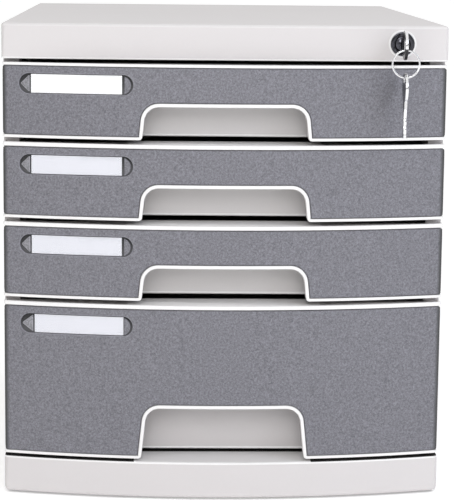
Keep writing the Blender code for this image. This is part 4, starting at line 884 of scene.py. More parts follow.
for number, drawer in drawers.items():
    stadium, drawer["label_z"] = label_stadium(drawer["height"])
    # The panel's outer edge gets painted shade (the last -1.0), and its recess mouth a painted highlight.
    panel = make_plate(
        f"drawer_{number}_panel", panel_outline(drawer["height"], drawer["notch"]), drawer["bottom"], 0.0,
        PANEL_THICK, PANEL_EDGE, f"drawer_{number}", "dark_plastic", "panel", stadium, RECESS_DEPTH, -1.0)
    # The panel's ends are darkened as painted shade.
    mark_shaded_ends(panel)
    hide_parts(f"drawer_{number}_fascia")
    print(panel.name, len(panel.data.polygons), "faces")

# %% [markdown]
# ## Bright rims
#
# The light frame shows only as a rounded bead along the top and bottom of each front, and round the finger
# notch. A bead that follows a path is work for Geometry Nodes: the path is a plain mesh of edges, the tree
# turns it into a curve and sweeps a rounded bar along it. Two values are stored on the path's points, so
# that the bar keeps its face outwards (`outward`) and can be wider at the top than along the notch
# (`girth`).

# %% Make the helpers for node trees
def new_tree(name, inputs):
    """A Geometry Nodes tree with a geometry socket each way and the named inputs."""
    tree = bpy.data.node_groups.new(name, "GeometryNodeTree")
    tree.interface.new_socket("Geometry", in_out="OUTPUT", socket_type="NodeSocketGeometry")
    tree.interface.new_socket("Geometry", in_out="INPUT", socket_type="NodeSocketGeometry")
    for label, kind in inputs:
        tree.interface.new_socket(label, in_out="INPUT", socket_type=kind)
    return tree, tree.nodes.new("NodeGroupInput"), tree.nodes.new("NodeGroupOutput")


def add_node(tree, kind, links=(), **settings):
    """A node with its settings and its links: (socket name, value or output socket)."""
    node = tree.nodes.new(kind)
    for label, value in settings.items():
        setattr(node, label, value)
    for label, value in links:
        socket = node.inputs[label]
        if isinstance(value, bpy.types.NodeSocket):
            tree.links.new(value, socket)
        else:
            socket.default_value = value
    return node


def read_attribute(tree, label, kind):
    """The value that the points of a mesh keep under a name."""
    node = add_node(tree, "GeometryNodeInputNamedAttribute", [("Name", label)], data_type=kind)
    return node.outputs["Attribute"]


def close_tree(tree, geometry, material, out):
    """Every tree ends like this: smooth shading, material, real mesh."""
    smooth = add_node(tree, "GeometryNodeSetShadeSmooth", [("Geometry", geometry)])
    real = add_node(tree, "GeometryNodeRealizeInstances", [("Geometry", smooth.outputs[0])])
    coated = add_node(tree, "GeometryNodeSetMaterial",
                      [("Geometry", real.outputs[0]), ("Material", material)])
    tree.links.new(coated.outputs[0], out.inputs["Geometry"])


def grow(name, source, tree, values, body, slot):
    """Run a tree on a source mesh and keep the result as a plain piece on its body."""
    source_object = bpy.data.objects.new(name + "_source", source)
    scene.collection.objects.link(source_object)
    modifier = source_object.modifiers.new("grow", "NODES")
    modifier.node_group = tree
    for socket in tree.interface.items_tree:
        if socket.in_out == "INPUT" and socket.name in values:
            modifier[socket.identifier] = values[socket.name]
    graph = bpy.context.evaluated_depsgraph_get()
    mesh = bpy.data.meshes.new_from_object(source_object.evaluated_get(graph))
    mesh.name = name
    bpy.data.objects.remove(source_object)
    return placed(name, mesh, body, slot)


print("a tree runs on a plain mesh of points and edges")

# %% Build the sweep
def make_sweep_tree():
    """A rounded bar along a path, with its sizes, rounding and finish as inputs."""
    tree, given, out = new_tree("rim_sweep", [
        ("Width", "NodeSocketFloat"), ("Depth", "NodeSocketFloat"), ("Rounding", "NodeSocketFloat"),
        ("Finish", "NodeSocketMaterial")])
    value = given.outputs
    path = add_node(tree, "GeometryNodeMeshToCurve", [("Mesh", value["Geometry"])])
    outward = read_attribute(tree, "outward", "FLOAT_VECTOR")
    faced = add_node(tree, "GeometryNodeSetCurveNormal",
                     [("Curve", path.outputs[0]), ("Normal", outward)], mode="FREE")
    bar = add_node(tree, "GeometryNodeCurvePrimitiveQuadrilateral",
                   [("Width", value["Depth"]), ("Height", value["Width"])])
    section = add_node(tree, "GeometryNodeFilletCurve",
                       [("Curve", bar.outputs[0]), ("Radius", value["Rounding"]), ("Count", 5),
                        ("Limit Radius", True)], mode="POLY")
    swept = add_node(tree, "GeometryNodeCurveToMesh",
                     [("Curve", faced.outputs[0]), ("Profile Curve", section.outputs[0]),
                      ("Scale", read_attribute(tree, "girth", "FLOAT")), ("Fill Caps", True)])
    close_tree(tree, swept.outputs[0], value["Finish"], out)
    return tree


def path_mesh(name, paths):
    """Edges along paths of (point, direction that the bar faces, girth), the last two kept on the points."""
    points, edges, outward, girths = [], [], [], []
    for path in paths:
        for i, (point, facing, girth) in enumerate(path):
            if i:
                edges.append((len(points) - 1, len(points)))
            points.append(point)
            outward += [*facing]
            girths.append(girth)
    mesh = bpy.data.meshes.new(name)
    mesh.from_pydata(points, edges, [])
    mesh.attributes.new("outward", "FLOAT_VECTOR", "POINT").data.foreach_set("vector", outward)
    mesh.attributes.new("girth", "FLOAT", "POINT").data.foreach_set("value", girths)
    return mesh


sweep_tree = make_sweep_tree()
print("sweep inputs:", [s.name for s in sweep_tree.interface.items_tree if s.in_out == "INPUT"])

# %% Draw the rims' paths
RIM_WIDTH, RIM_DEPTH, RIM_PROUD, RIM_OVERLAP = 2.4 * MM, 1.8 * MM, 0.25 * MM, 1.01
FOOT_BEND, GIRTH_RISE = 1.5 * MM, 4.0 * MM
BOW_SHARE = 0.9


def spaced(path, spacing=SPACING):
    """The open path with extra points, and with those of the front line's own corners near its ends."""
    points = [path[0]]
    for one, two in zip(path, path[1:]):
        count = max(1, math.ceil(math.dist(one, two) / spacing))
        cuts = {i / count for i in range(1, count)}
        if abs(two[0] - one[0]) > SPACING:
            cuts |= {(u - one[0]) / (two[0] - one[0]) for u in END_COLUMNS}
        for share in sorted(cut for cut in cuts if 0 < cut < 1) + [1]:
            points.append(tuple(a + (b - a) * share for a, b in zip(one, two)))
    return points


def on_rim(u, z, girth):
    """A point of a rim's path: where it is, which way it faces, and how thick the bar is there."""
    facing = (*(-look_up(inward, u)), 0.0)
    return on_front(u, z, RIM_DEPTH / 2 * girth - RIM_PROUD), facing, girth * RIM_OVERLAP


def rim_paths(drawer, top_rim):
    """The top rim, and the bottom rim that climbs over the notch."""
    bottom, height, notch = drawer["bottom"], drawer["height"], drawer["notch"]
    wide, narrow = top_rim / RIM_WIDTH, BOTTOM_RIM / RIM_WIDTH
    top_z = height - TOP_RIM + top_rim / 2
    top = [on_rim(u, bottom + z, wide) for u, z in spaced([(0.0, top_z), (LINE_LENGTH, top_z)])]
    low, inset = BOTTOM_RIM / 2, RIM_WIDTH / 2
    head = BOTTOM_RIM + notch - inset
    arch = rounded([
        (-HALF_WIDTH * BOW_SHARE, low, 0),
        (-notch_side(low, inset), low, FOOT_BEND), (-notch_side(head, inset), head, NOTCH_RADIUS - inset),
        (notch_side(head, inset), head, NOTCH_RADIUS - inset), (notch_side(low, inset), low, FOOT_BEND),
        (HALF_WIDTH * BOW_SHARE, low, 0),
    ], 12)
    flat = [(0.0, low), *unrolled(arch), (LINE_LENGTH, low)]
    lower = [on_rim(u, bottom + z, min(1.0, narrow + (1 - narrow) * (z - low) / GIRTH_RISE))
             for u, z in spaced(flat)]
    return [top, lower]


print("points of the paths:", [len(path) for path in rim_paths(drawers[1], TOP_RIM)])

# %% Make the rims
RIM_ROUND = 0.75 * MM
SHADED_RIM = 2.0 * MM

for number, drawer in drawers.items():
    top_rim = SHADED_RIM if number == 1 else TOP_RIM
    source = path_mesh(f"drawer_{number}_rim_path", rim_paths(drawer, top_rim))
    # The beads take the rim finish, which is the shell's plastic painted lighter as a painted highlight.
    rims = grow(f"drawer_{number}_rims", source, sweep_tree,
                {"Width": RIM_WIDTH, "Depth": RIM_DEPTH, "Rounding": RIM_ROUND, "Finish": finishes["rim"]},
                f"drawer_{number}", "light_plastic")
    low, high = [Vector([f(v.co[i] for v in rims.data.vertices) / MM for i in range(3)]) for f in (min, max)]
    print(rims.name, len(rims.data.polygons), "faces", [round(x, 2) for x in (*low, *high)])

# %% [markdown]
# ## The frames behind the rims
#
# The rims are now separate beads, so the frame behind them has to step back a little, or its flat facets
# would show through. Its node is replaced by a copy whose outermost skin is pushed in by a millimetre, and
# whose top is lowered, so that the rim stands up as a lip and the slit above it stays dark. Under the lid
# it is lowered most. Where the notch of the drawer above shows it, it is lowered least. Its top gets the
# rim's lighter finish as painted light, and its sides and its back stay where they are. The CAD mesh is
# loose triangles, so the copy is merged first.

# %% Copy a node and cut it
MERGE_CLOSE, CUT_CLOSE = 0.005 * MM, 0.001 * MM


def merged_copy(node_name):
    """A bmesh copy of a CAD node with its loose triangles joined."""
    bm = bmesh.new()
    bm.from_mesh(nodes[node_name].data)
    bmesh.ops.remove_doubles(bm, verts=bm.verts, dist=MERGE_CLOSE)
    return bm


def cut(bm, point, normal):
    """Cut every face along a plane, so that each side can be moved or finished by itself."""
    everything = bm.verts[:] + bm.edges[:] + bm.faces[:]
    bmesh.ops.bisect_plane(bm, geom=everything, dist=CUT_CLOSE, plane_co=point, plane_no=normal)


joined = merged_copy("drawer_1_front_frame")
print("points of a frame, loose:", len(nodes["drawer_1_front_frame"].data.vertices))
print("and joined:", len(joined.verts))
joined.free()

# %% Set the frames back
SET_BACK = 1.0 * MM
TOP_DROP, LID_DROP, NOTCH_DROP, TOP_REACH = 1.0 * MM, 1.6 * MM, 0.15 * MM, 1.76 * MM
SHOWN_HALF, SHOWN_SLOPE = 66.0 * MM, 2.0 * MM
LEVEL, SHARP_ANGLE = 0.9, math.radians(35)


def top_drop(number, x):
    """How far the frame's top is lowered at x."""
    if number == 1:
        return LID_DROP
    return NOTCH_DROP if abs(x) < SHOWN_HALF + SHOWN_SLOPE / 2 else TOP_DROP


def set_frame_back(number):
    """A copy of the frame with its skin pushed in and its top lowered, and how many points moved in."""
    bm = merged_copy(f"drawer_{number}_front_frame")
    for x in (-SHOWN_HALF - SHOWN_SLOPE, -SHOWN_HALF, SHOWN_HALF, SHOWN_HALF + SHOWN_SLOPE):
        cut(bm, (x, 0, 0), (1, 0, 0))
    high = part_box(f"drawer_{number}_front_frame")[1].z
    moved = 0
    for v in bm.verts:
        x, y = v.co.x, v.co.y - FRONT_Y
        side = HALF_WIDTH - SET_BACK
        face = bow_at(max(-side, min(side, x))) + SET_BACK
        moved += abs(x) > side or y < face
        v.co.x = max(-side, min(side, x))
        v.co.y = max(y, face) + FRONT_Y
        v.co.z = min(v.co.z, high - top_drop(number, v.co.x))
    bm.normal_update()
    # The frame's top faces take the rim finish: painted light on faces that sit in the gap's shade.
    for face in bm.faces:
        if face.normal.z > LEVEL and face.calc_center_median().z > high - TOP_REACH:
            face.material_index = 1
    frame_copy = finished(f"drawer_{number}_frame_body", bm, f"drawer_{number}", "light_plastic", "shell")
    frame_copy.data.materials.append(finishes["rim"])
    frame_copy.data.set_sharp_from_angle(angle=SHARP_ANGLE)
    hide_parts(f"drawer_{number}_front_frame")
    return frame_copy, moved


for number in drawers:
    frame_copy, moved = set_frame_back(number)
    print(frame_copy.name, moved, "points set back")

# %% [markdown]
# ## Lid, base and trays
#
# These keep the shape that they have in the CAD. Two things are missing for the eye. The first is smooth
# shading: a rounded corner of flat facets catches the light in stripes. So each node is replaced by a
# merged copy whose normals lean towards its large faces, which keeps flats flat and roundings round. The
# second is the brighter line along the edges, which is a painted highlight. A copy is cut along a plane or
# two, and the thin band next to the edge gets a lighter, smoother finish; the base's ledge gets it too, as
# painted light. On the base's ledge a strip on each side of the lowest finger notch and behind it, under
# the tray's wall, is painted black: painted shade that keeps the slit below the drawer dark.

# %% Copy a node in bands
def weighted(piece):
    """Normals that lean towards the large faces, kept in the mesh."""
    piece.data.set_sharp_from_angle(angle=SHARP_ANGLE)
    lean = piece.modifiers.new("lean", "WEIGHTED_NORMAL")
    lean.keep_sharp = True
    mesh = bpy.data.meshes.new_from_object(piece.evaluated_get(bpy.context.evaluated_depsgraph_get()))
    piece.modifiers.remove(lean)
    piece.data = mesh


def banded_copy(node_name, name, body, bands, cuts=()):
    """A smooth copy of a node, cut into bands of (lowest z, highest z, finish, which faces).

    The cuts are further planes of (point, normal), for bands that don't run all the way."""
    bm = merged_copy(node_name)
    for point, normal in [((0, 0, z), (0, 0, 1)) for band in bands for z in band[:2]] + [*cuts]:
        cut(bm, point, normal)
    bm.normal_update()
    for face in bm.faces:
        centre = face.calc_center_median()
        for index, (low, high, _, wanted) in enumerate(bands, 1):
            if low <= centre.z <= high and wanted(face.normal, centre):
                face.material_index = index
    piece = finished(name, bm, body, "light_plastic", "shell")
    for _, _, finish, _ in bands:
        piece.data.materials.append(finishes[finish])
    weighted(piece)
    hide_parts(node_name)
    print(name, len(piece.data.polygons), "faces")
    return piece


print("faces turn sharp past", round(math.degrees(SHARP_ANGLE)), "degrees")

# %% Choose the faces of a band
UPRIGHT, FRONTWARD = 0.95, -0.3
# The ledge strips beside and behind the lowest notch are painted black as painted shade.
SLIT_SHADE_START, SLIT_SHADE_REACH = 61.5 * MM, 34.0 * MM
WALL_FRONT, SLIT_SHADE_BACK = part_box("drawer_4_tray")[0].y, FRONT_Y + SLIT_SHADE_REACH


def is_outer(normal, centre):
    """Faces that look away from the cabinet's middle."""
    return normal.x * centre.x + normal.y * centre.y > 0 and abs(normal.z) < UPRIGHT


def is_ledge(normal, centre):
    """Faces that look up."""
    return normal.z > LEVEL


def is_slit_shade(normal, centre):
    """Level faces beside the notch, and behind it under the tray's wall."""
    beside_notch, under_wall = abs(centre.x) > SLIT_SHADE_START, centre.y > WALL_FRONT
    return normal.z > LEVEL and centre.y < SLIT_SHADE_BACK and (beside_notch or under_wall)


def faces_front(normal, centre):
    """Faces that look towards the front."""
    return normal.y < FRONTWARD


print("felt from", round(WALL_FRONT / MM, 1), "to", round(SLIT_SHADE_BACK / MM, 1), "mm")

# %% Dress the shell
LID_BAND, LID_ROUND = 1.1 * MM, 2.0 * MM
BASE_BAND, WALL_EDGE = 1.5 * MM, 1.6 * MM

lid_low, lid_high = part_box("top_cover")
# The lid's lower band takes the rim finish and its top edge the edge finish: both are painted highlights.
banded_copy("top_cover", "lid", "cabinet", [
    (lid_low.z, lid_low.z + LID_BAND, "rim", is_outer),
    (lid_high.z - LID_ROUND, lid_high.z, "edge", is_outer)])
base_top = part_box("base_plinth")[1].z
base_band = (base_top - BASE_BAND, base_top)
# The base's top band takes the rim finish as a painted highlight, and its ledge as painted light.
banded_copy("base_plinth", "base", "cabinet", [
    (*base_band, "rim", is_outer), (*base_band, "rim", is_ledge), (*base_band, "felt", is_slit_shade)],
    [((-SLIT_SHADE_START, 0, 0), (1, 0, 0)), ((SLIT_SHADE_START, 0, 0), (1, 0, 0)),
     ((0, WALL_FRONT, 0), (0, 1, 0)), ((0, SLIT_SHADE_BACK, 0), (0, 1, 0))])
for number in drawers:
    tray_low, tray_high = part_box(f"drawer_{number}_tray")
    # Trays 1 to 3 have their front walls painted lighter as painted light, and each wall's foot a painted
    # highlight.
    wall_edge, wall_finish = tray_low.z + WALL_EDGE, "shell" if number == 4 else "pocket"
    banded_copy(f"drawer_{number}_tray", f"drawer_{number}_tray_body", f"drawer_{number}", [
        (tray_low.z, wall_edge, "lip", faces_front), (wall_edge, tray_high.z, wall_finish, faces_front)])
print("the lid, the base and", len(drawers), "trays are dressed")

# %% [markdown]
# ## The label holders
#
# A black sheet lines the recess: painted shade for its deep inside, which turns grey towards its foot as
# painted light where more light reaches. A three-sided finger tab stands at its left end, in the panel's
# paint made lighter as a painted sheen, and a half-round pad at its right end, in the panel's own paint.
# Between them lies the card, under a clear strip, with a hair of the black sheet showing all round. All
# five are plates on the same line, so the plate maker does them too.

# %% Draw the tab and the pad
TAB_INSET, TAB_SPARE = 0.9 * MM, 0.7 * MM
TAB_POINT, TAB_CORNER = 0.9 * MM, 0.5 * MM
PAD_LEFT, PAD_RADIUS, PAD_CENTRE = -68.6 * MM, 6.3 * MM, (-70.5 * MM, -0.3 * MM)


def tab_outline(middle, right):
    """A triangle with soft corners that points to the left end of the recess."""
    half = RECESS_HEIGHT / 2 - TAB_SPARE
    corners = [(RECESS_LEFT + TAB_INSET, middle, TAB_POINT),
               (right, middle - half, TAB_CORNER), (right, middle + half, TAB_CORNER)]
    return unrolled(rounded(corners, 5))


def pad_outline(middle):
    """A half disc whose straight side faces the card."""
    cx, cz = PAD_CENTRE
    start = math.asin(math.sqrt(PAD_RADIUS ** 2 - (PAD_LEFT - cx) ** 2) / PAD_RADIUS)
    turns = [-start + 2 * start * i / 20 for i in range(21)]
    return unrolled([(cx + PAD_RADIUS * math.cos(t), middle + cz + PAD_RADIUS * math.sin(t)) for t in turns])


print("points of the pad:", len(pad_outline(0.0)))

# %% Make the label holders
SHADE_SHEET_DEPTH, SHADE_SHEET_THICK, SHADE_SHEET_EDGE, SHADE_SHEET_SPARE = 1.2 * MM, 0.3 * MM, 0.05 * MM, 0.03 * MM
PART_BACK, TAB_FRONT, TAB_EDGE, PAD_FRONT, PAD_EDGE = 1.3 * MM, 0.1 * MM, 0.45 * MM, 0.45 * MM, 0.3 * MM
CARD_FRONT, CARD_THICK, CARD_EDGE, CARD_CORNER = 0.75 * MM, 0.3 * MM, 0.06 * MM, 0.3 * MM
WINDOW_FRONT, WINDOW_THICK, WINDOW_EDGE, WINDOW_CORNER = 0.25 * MM, 0.4 * MM, 0.12 * MM, 0.4 * MM
CARD_HEIGHT, CARD_GAP = 12.7 * MM, 0.9 * MM
CARD_ENDS, DEEP_CARD_ENDS = (-132.3 * MM, -70.3 * MM), (-130.6 * MM, -69.0 * MM)
FOOT_LIGHT_FADE = 7.0 * MM


def mark_lit_foot(shade_sheet, middle):
    """Store on the points how much lighter the black turns, as painted light: not at all at the top, wholly
    at the foot.
    """
    above = np.array([v.co.z for v in shade_sheet.data.vertices]) - middle
    shade_tone = np.clip(0.5 - above / FOOT_LIGHT_FADE, 0, 1)
    shade_sheet.data.attributes.new("shade_tone", "FLOAT", "POINT").data.foreach_set("value", shade_tone)


for number, drawer in drawers.items():
    name, bottom, middle = f"drawer_{number}", drawer["bottom"], drawer["label_z"]
    left, right = DEEP_CARD_ENDS if number == 4 else CARD_ENDS
    paper = "card_top" if number == 1 else "card"
    stadium = moved_in(resampled(label_stadium(drawer["height"])[0]), SHADE_SHEET_SPARE)
    # A black sheet in the recess stands in for its deep inside: painted shade.
    shade_sheet = make_plate(name + "_slot_liner", [tuple(p) for p in stadium], bottom, SHADE_SHEET_DEPTH, SHADE_SHEET_THICK,
                       SHADE_SHEET_EDGE, name, "dark_plastic", "groove")
    mark_lit_foot(shade_sheet, bottom + middle)
    # The tab's paint is lighter as a painted sheen, with a painted highlight on its edges.
    make_plate(name + "_label_tab", tab_outline(middle, left - CARD_GAP), bottom, TAB_FRONT,
               PART_BACK - TAB_FRONT, TAB_EDGE, name, "dark_plastic", "tab", rubs_and_edge_light=1.0)
    make_plate(name + "_label_pad", pad_outline(middle), bottom, PAD_FRONT,
               PART_BACK - PAD_FRONT, PAD_EDGE, name, "dark_plastic", "panel")
    card_edge = strip_outline(left, right, middle, CARD_HEIGHT, CARD_CORNER)
    card = make_plate(name + "_card", card_edge, bottom, CARD_FRONT, CARD_THICK, CARD_EDGE,
                      name, "label_card", paper)
    window_edge = strip_outline(left, right, middle, CARD_HEIGHT, WINDOW_CORNER)
    window = make_plate(name + "_window", window_edge, bottom, WINDOW_FRONT, WINDOW_THICK, WINDOW_EDGE,
                        name, "clear_plastic", "clear")
    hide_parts(name + "_label_card")
    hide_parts(name + "_label_window")
print("label holders on", len(drawers), "drawers")

# %% [markdown]
# ## The lock's face
#
# The lock is a turned barrel with a wide bezel, clamped in the lid, and a plug that turns inside it. Turned
# parts are what spinning a profile is for: draw half the section, spin it about the axis, and give the
# sharp corners a small radius in the profile itself, because polished metal is recognised by the highlights
# on its edges. A shallow seat is moulded into the bowed lid, so that the flat bezel has something flat to
# sit on.

# %% Spin a profile
TURN_STEPS = 64


def quarter(radius, centre_r, centre_y, start, count=6):
    """Part of a profile: a quarter circle in (radius, y), from a start angle in degrees, counterclockwise."""
    turns = [math.radians(start + 90 * i / count) for i in range(count + 1)]
    return [(centre_r + radius * math.cos(t), centre_y + radius * math.sin(t)) for t in turns]


def skin(bm, rings, closed=False):
    """Faces between rings of verts, where a ring may be a single vert on the axis."""
    steps = max(len(ring) for ring in rings)
    for one, two in zip(rings, rings[1:] + (rings[:1] if closed else [])):
        for i in range(steps):
            j = (i + 1) % steps
            corners = [one[i % len(one)], one[j % len(one)], two[j % len(two)], two[i % len(two)]]
            bm.faces.new(list(dict.fromkeys(corners)))


def spin(bm, profile, axis, closed):
    """Turn a profile of (radius, y) about an axis along Y; an open one starts and ends on the axis."""
    rings = []
    for radius, y in profile:
        turns = [math.tau * i / TURN_STEPS for i in range(TURN_STEPS if radius else 1)]
        circle = [(axis.x + radius * math.cos(t), y, axis.z + radius * math.sin(t)) for t in turns]
        rings.append([bm.verts.new(point) for point in circle])
    skin(bm, rings, closed)


print("a quarter circle:", len(quarter(1.0, 0.0, 0.0, 0)), "points, spun in", TURN_STEPS, "steps")

# %% Turn the lock
METAL_SHARP = math.radians(40)
SEAT_WIDTH, SEAT_REACH, SEAT_ROUND, SEAT_SPARE = 1.3 * MM, 1.8 * MM, 0.35 * MM, 0.3 * MM
BEZEL_REACH, BEZEL_WALL, BEZEL_ROUND = 2.0 * MM, 1.6 * MM, 0.7 * MM
BORE_SPARE, BORE_ROUND = 0.25 * MM, 0.25 * MM

lock_low, lock_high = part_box("lock_housing")
plug_low, plug_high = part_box("lock_plug")
lock_axis = Vector(((lock_low.x + lock_high.x) / 2, 0, (lock_low.z + lock_high.z) / 2))
BEZEL_RADIUS = (lock_high.x - lock_low.x) / 2
BARREL_RADIUS = BEZEL_RADIUS - BEZEL_REACH
PLUG_RADIUS = (plug_high.x - plug_low.x) / 2


def make_bezel():
    """The flat ring in front of the lid, and the barrel that carries it."""
    y, bore = lock_low.y, PLUG_RADIUS + BORE_SPARE
    profile = quarter(BORE_ROUND, bore + BORE_ROUND, y + BORE_ROUND, 180)
    profile += quarter(BEZEL_ROUND, BEZEL_RADIUS - BEZEL_ROUND, y + BEZEL_ROUND, 270)
    profile += [(BEZEL_RADIUS, y + BEZEL_WALL), (BARREL_RADIUS, y + BEZEL_WALL), (BARREL_RADIUS, lock_high.y),
                (bore, lock_high.y)]
    bm = bmesh.new()
    spin(bm, profile, lock_axis, True)
    # The bezel's plating is nearly black as a painted dark reflection.
    bezel = finished("lock_bezel", bm, "cabinet", "chrome", "lock")
    bezel.data.set_sharp_from_angle(angle=METAL_SHARP)
    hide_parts("lock_housing")


def make_seat():
    """The raised seat round the bezel, reaching back into the bowed skirt of the lid."""
    y, outer, inner = lock_low.y + BEZEL_WALL, BEZEL_RADIUS + SEAT_WIDTH, BARREL_RADIUS + SEAT_SPARE
    profile = [(inner, y), *quarter(SEAT_ROUND, outer - SEAT_ROUND, y + SEAT_ROUND, 270),
               (outer, y + SEAT_REACH), (inner, y + SEAT_REACH)]
    bm = bmesh.new()
    spin(bm, profile, lock_axis, True)
    # The seat takes the rim finish, painted lighter as a painted highlight round the bezel.
    seat = finished("lock_seat", bm, "cabinet", "light_plastic", "rim")
    seat.data.set_sharp_from_angle(angle=METAL_SHARP)


make_bezel()
make_seat()
print("lock face", round(2 * BEZEL_RADIUS / MM, 1), "mm across")

# %% Turn the plug and cut its keyway
PLUG_DOME, PLUG_ROUND = 1.0 * MM, 0.35 * MM
DOME_SHARES = (0, 0.2, 0.4, 0.6, 0.8)
TAIL_RADIUS, TAIL_LENGTH = 2.2 * MM, 1.7 * MM
KEYWAY_WIDTH, KEYWAY_HEIGHT, KEYWAY_DEPTH = 2.6 * MM, 6.8 * MM, 21.0 * MM


def make_plug():
    """The plug's face with its keyway; its tail is inside the lid and stays the CAD's size."""
    y, tail_y = plug_low.y, plug_high.y - TAIL_LENGTH
    profile = [(PLUG_RADIUS * share, y + PLUG_DOME * share ** 2) for share in DOME_SHARES]
    profile += quarter(PLUG_ROUND, PLUG_RADIUS - PLUG_ROUND, y + PLUG_DOME + PLUG_ROUND, 270)
    profile += [(PLUG_RADIUS, tail_y), (TAIL_RADIUS, tail_y), (TAIL_RADIUS, plug_high.y), (0, plug_high.y)]
    bm = bmesh.new()
    spin(bm, profile, lock_axis, False)
    bmesh.ops.recalc_face_normals(bm, faces=bm.faces)
    blank = bpy.data.objects.new("plug_blank", bpy.data.meshes.new("plug_blank"))
    bm.to_mesh(blank.data)
    bm.free()
    bm = bmesh.new()
    bmesh.ops.create_cube(bm, size=1.0)
    bmesh.ops.scale(bm, vec=(KEYWAY_WIDTH, 2 * KEYWAY_DEPTH, KEYWAY_HEIGHT), verts=bm.verts)
    bmesh.ops.translate(bm, vec=(lock_axis.x, y, lock_axis.z), verts=bm.verts)
    cutter = bpy.data.objects.new("keyway", bpy.data.meshes.new("keyway"))
    bm.to_mesh(cutter.data)
    bm.free()
    for item in (blank, cutter):
        scene.collection.objects.link(item)
    carve = blank.modifiers.new("carve", "BOOLEAN")
    carve.operation, carve.solver, carve.object = "DIFFERENCE", "EXACT", cutter
    mesh = bpy.data.meshes.new_from_object(blank.evaluated_get(bpy.context.evaluated_depsgraph_get()))
    bm = bmesh.new()
    bm.from_mesh(mesh)
    plug = finished("lock_plug_face", bm, "lock_plug", "chrome", "lock")
    plug.data.set_sharp_from_angle(angle=SHARP_ANGLE)
    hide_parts("lock_plug")
    for item in (blank, cutter):
        bpy.data.objects.remove(item)
    return plug


plug = make_plug()
print("plug:", len(plug.data.polygons), "faces")

# %% [markdown]
# ## Keys
#
# A key is stamped from sheet and tumbled, so its outline is sharp in plan and its edges are softly rounded.
# It is the plate maker again, this time on a flat plane: two half plates back to back, each with a rounded
# outer edge, a milled groove along the blade and the eye for the ring. The edges keep the bright plating,
# while the flat faces, and the lower part of the key in the lock, are painted nearly black as a painted
# dark reflection.

# %% Draw a key
BLADE_LENGTH, BLADE_HALF = 20.0 * MM, 3.0 * MM
TIP_LENGTH, TIP_HALF = 2.2 * MM, 1.3 * MM
COLLAR_HALF, COLLAR_STEP = 4.4 * MM, 0.4 * MM
BOW_RADIUS, BOW_STEPS = 10.0 * MM, 24
KEY_LENGTH = 44.0 * MM
BIT_DEPTHS, BIT_WIDTH = (0.30, 0.12, 0.34, 0.20, 0.38, 0.16), 0.22


def key_half_outline():
    """One side of the key, from its tip to the end of its bow, as (along, across)."""
    side = [(0.0, TIP_HALF), (TIP_LENGTH, BLADE_HALF)]
    pitch = (BLADE_LENGTH - 2 * TIP_LENGTH) / len(BIT_DEPTHS)
    for i, depth in enumerate(BIT_DEPTHS):
        middle = TIP_LENGTH + (i + 0.5) * pitch
        side += [(middle + s * pitch * BIT_WIDTH, BLADE_HALF * (1 - depth)) for s in (-1, 1)]
    side += [(BLADE_LENGTH - TIP_LENGTH, BLADE_HALF), (BLADE_LENGTH, BLADE_HALF)]
    centre = KEY_LENGTH - BOW_RADIUS
    start = math.pi - math.asin(COLLAR_HALF / BOW_RADIUS)
    side.append((BLADE_LENGTH + COLLAR_STEP, COLLAR_HALF))
    turns = [start * (1 - i / BOW_STEPS) for i in range(BOW_STEPS)]
    return side + [(centre + BOW_RADIUS * math.cos(t), BOW_RADIUS * math.sin(t)) for t in turns]


def key_outline():
    """Both sides of the key, all the way round."""
    side = key_half_outline()
    return [(s, -v) for s, v in side] + [(KEY_LENGTH, 0.0)] + [(s, v) for s, v in reversed(side)]


def slot_outline(s, v_half, s_half, steps=8):
    """A round-ended slot whose middle is at s."""
    soft = min(v_half, s_half) * ROUND_END
    return rounded([(s + a * s_half, b * v_half, soft) for a, b in SQUARE], steps)


print("key outline:", len(key_outline()), "points")

# %% Cut the keys
KEY_THICK, KEY_EDGE = 2.0 * MM, 0.35 * MM
EYE_LENGTH, EYE_WIDTH, EYE_MARGIN = 8.4 * MM, 4.6 * MM, 2.15 * MM
GROOVE_HALF, GROOVE_DEPTH = 0.55 * MM, 0.45 * MM
GROOVE_SHIFT, GROOVE_MARGIN = 1.5 * MM, 3.2 * MM
FLAT_SIDE, DARK_REFLECTION_DROP = 0.9, 2.5 * MM


def make_key(node_name, to_point):
    """Two half plates back to back; to_point turns (along, across) of the key's plane into (y, z)."""
    low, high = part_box(node_name)
    middle_x = (low.x + high.x) / 2
    eye = slot_outline(KEY_LENGTH - EYE_MARGIN - EYE_WIDTH / 2, EYE_LENGTH / 2, EYE_WIDTH / 2)
    groove = slot_outline(BLADE_LENGTH / 2 + GROOVE_SHIFT, GROOVE_HALF, BLADE_LENGTH / 2 - GROOVE_MARGIN, 4)
    bm = bmesh.new()
    for side in (-1, 1):
        def place(s, v, depth, side=side):
            y, z = to_point(s, v)
            return Vector((middle_x + side * (KEY_THICK / 2 - depth), y, z))
        add_plate(bm, key_outline(), place, 0.0, KEY_THICK / 2, KEY_EDGE, groove, GROOVE_DEPTH, eye)
    return bm


def key_piece(name, node_name, to_point, dark_below=-1.0):
    """A key on the body of its own name: its flat faces, and all below a height, are painted dark as a
    painted reflection.
    """
    bm = make_key(node_name, to_point)
    bm.normal_update()
    for face in bm.faces:
        is_painted_dark = abs(face.normal.x) > FLAT_SIDE or face.calc_center_median().z < dark_below
        face.material_index = 0 if is_painted_dark else 1
    key = finished(name, bm, node_name, "chrome", "dark_reflection_face")
    key.data.materials.append(finishes["chrome"])
    key.data.set_sharp_from_angle(angle=METAL_SHARP)
    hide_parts(node_name)
    return key


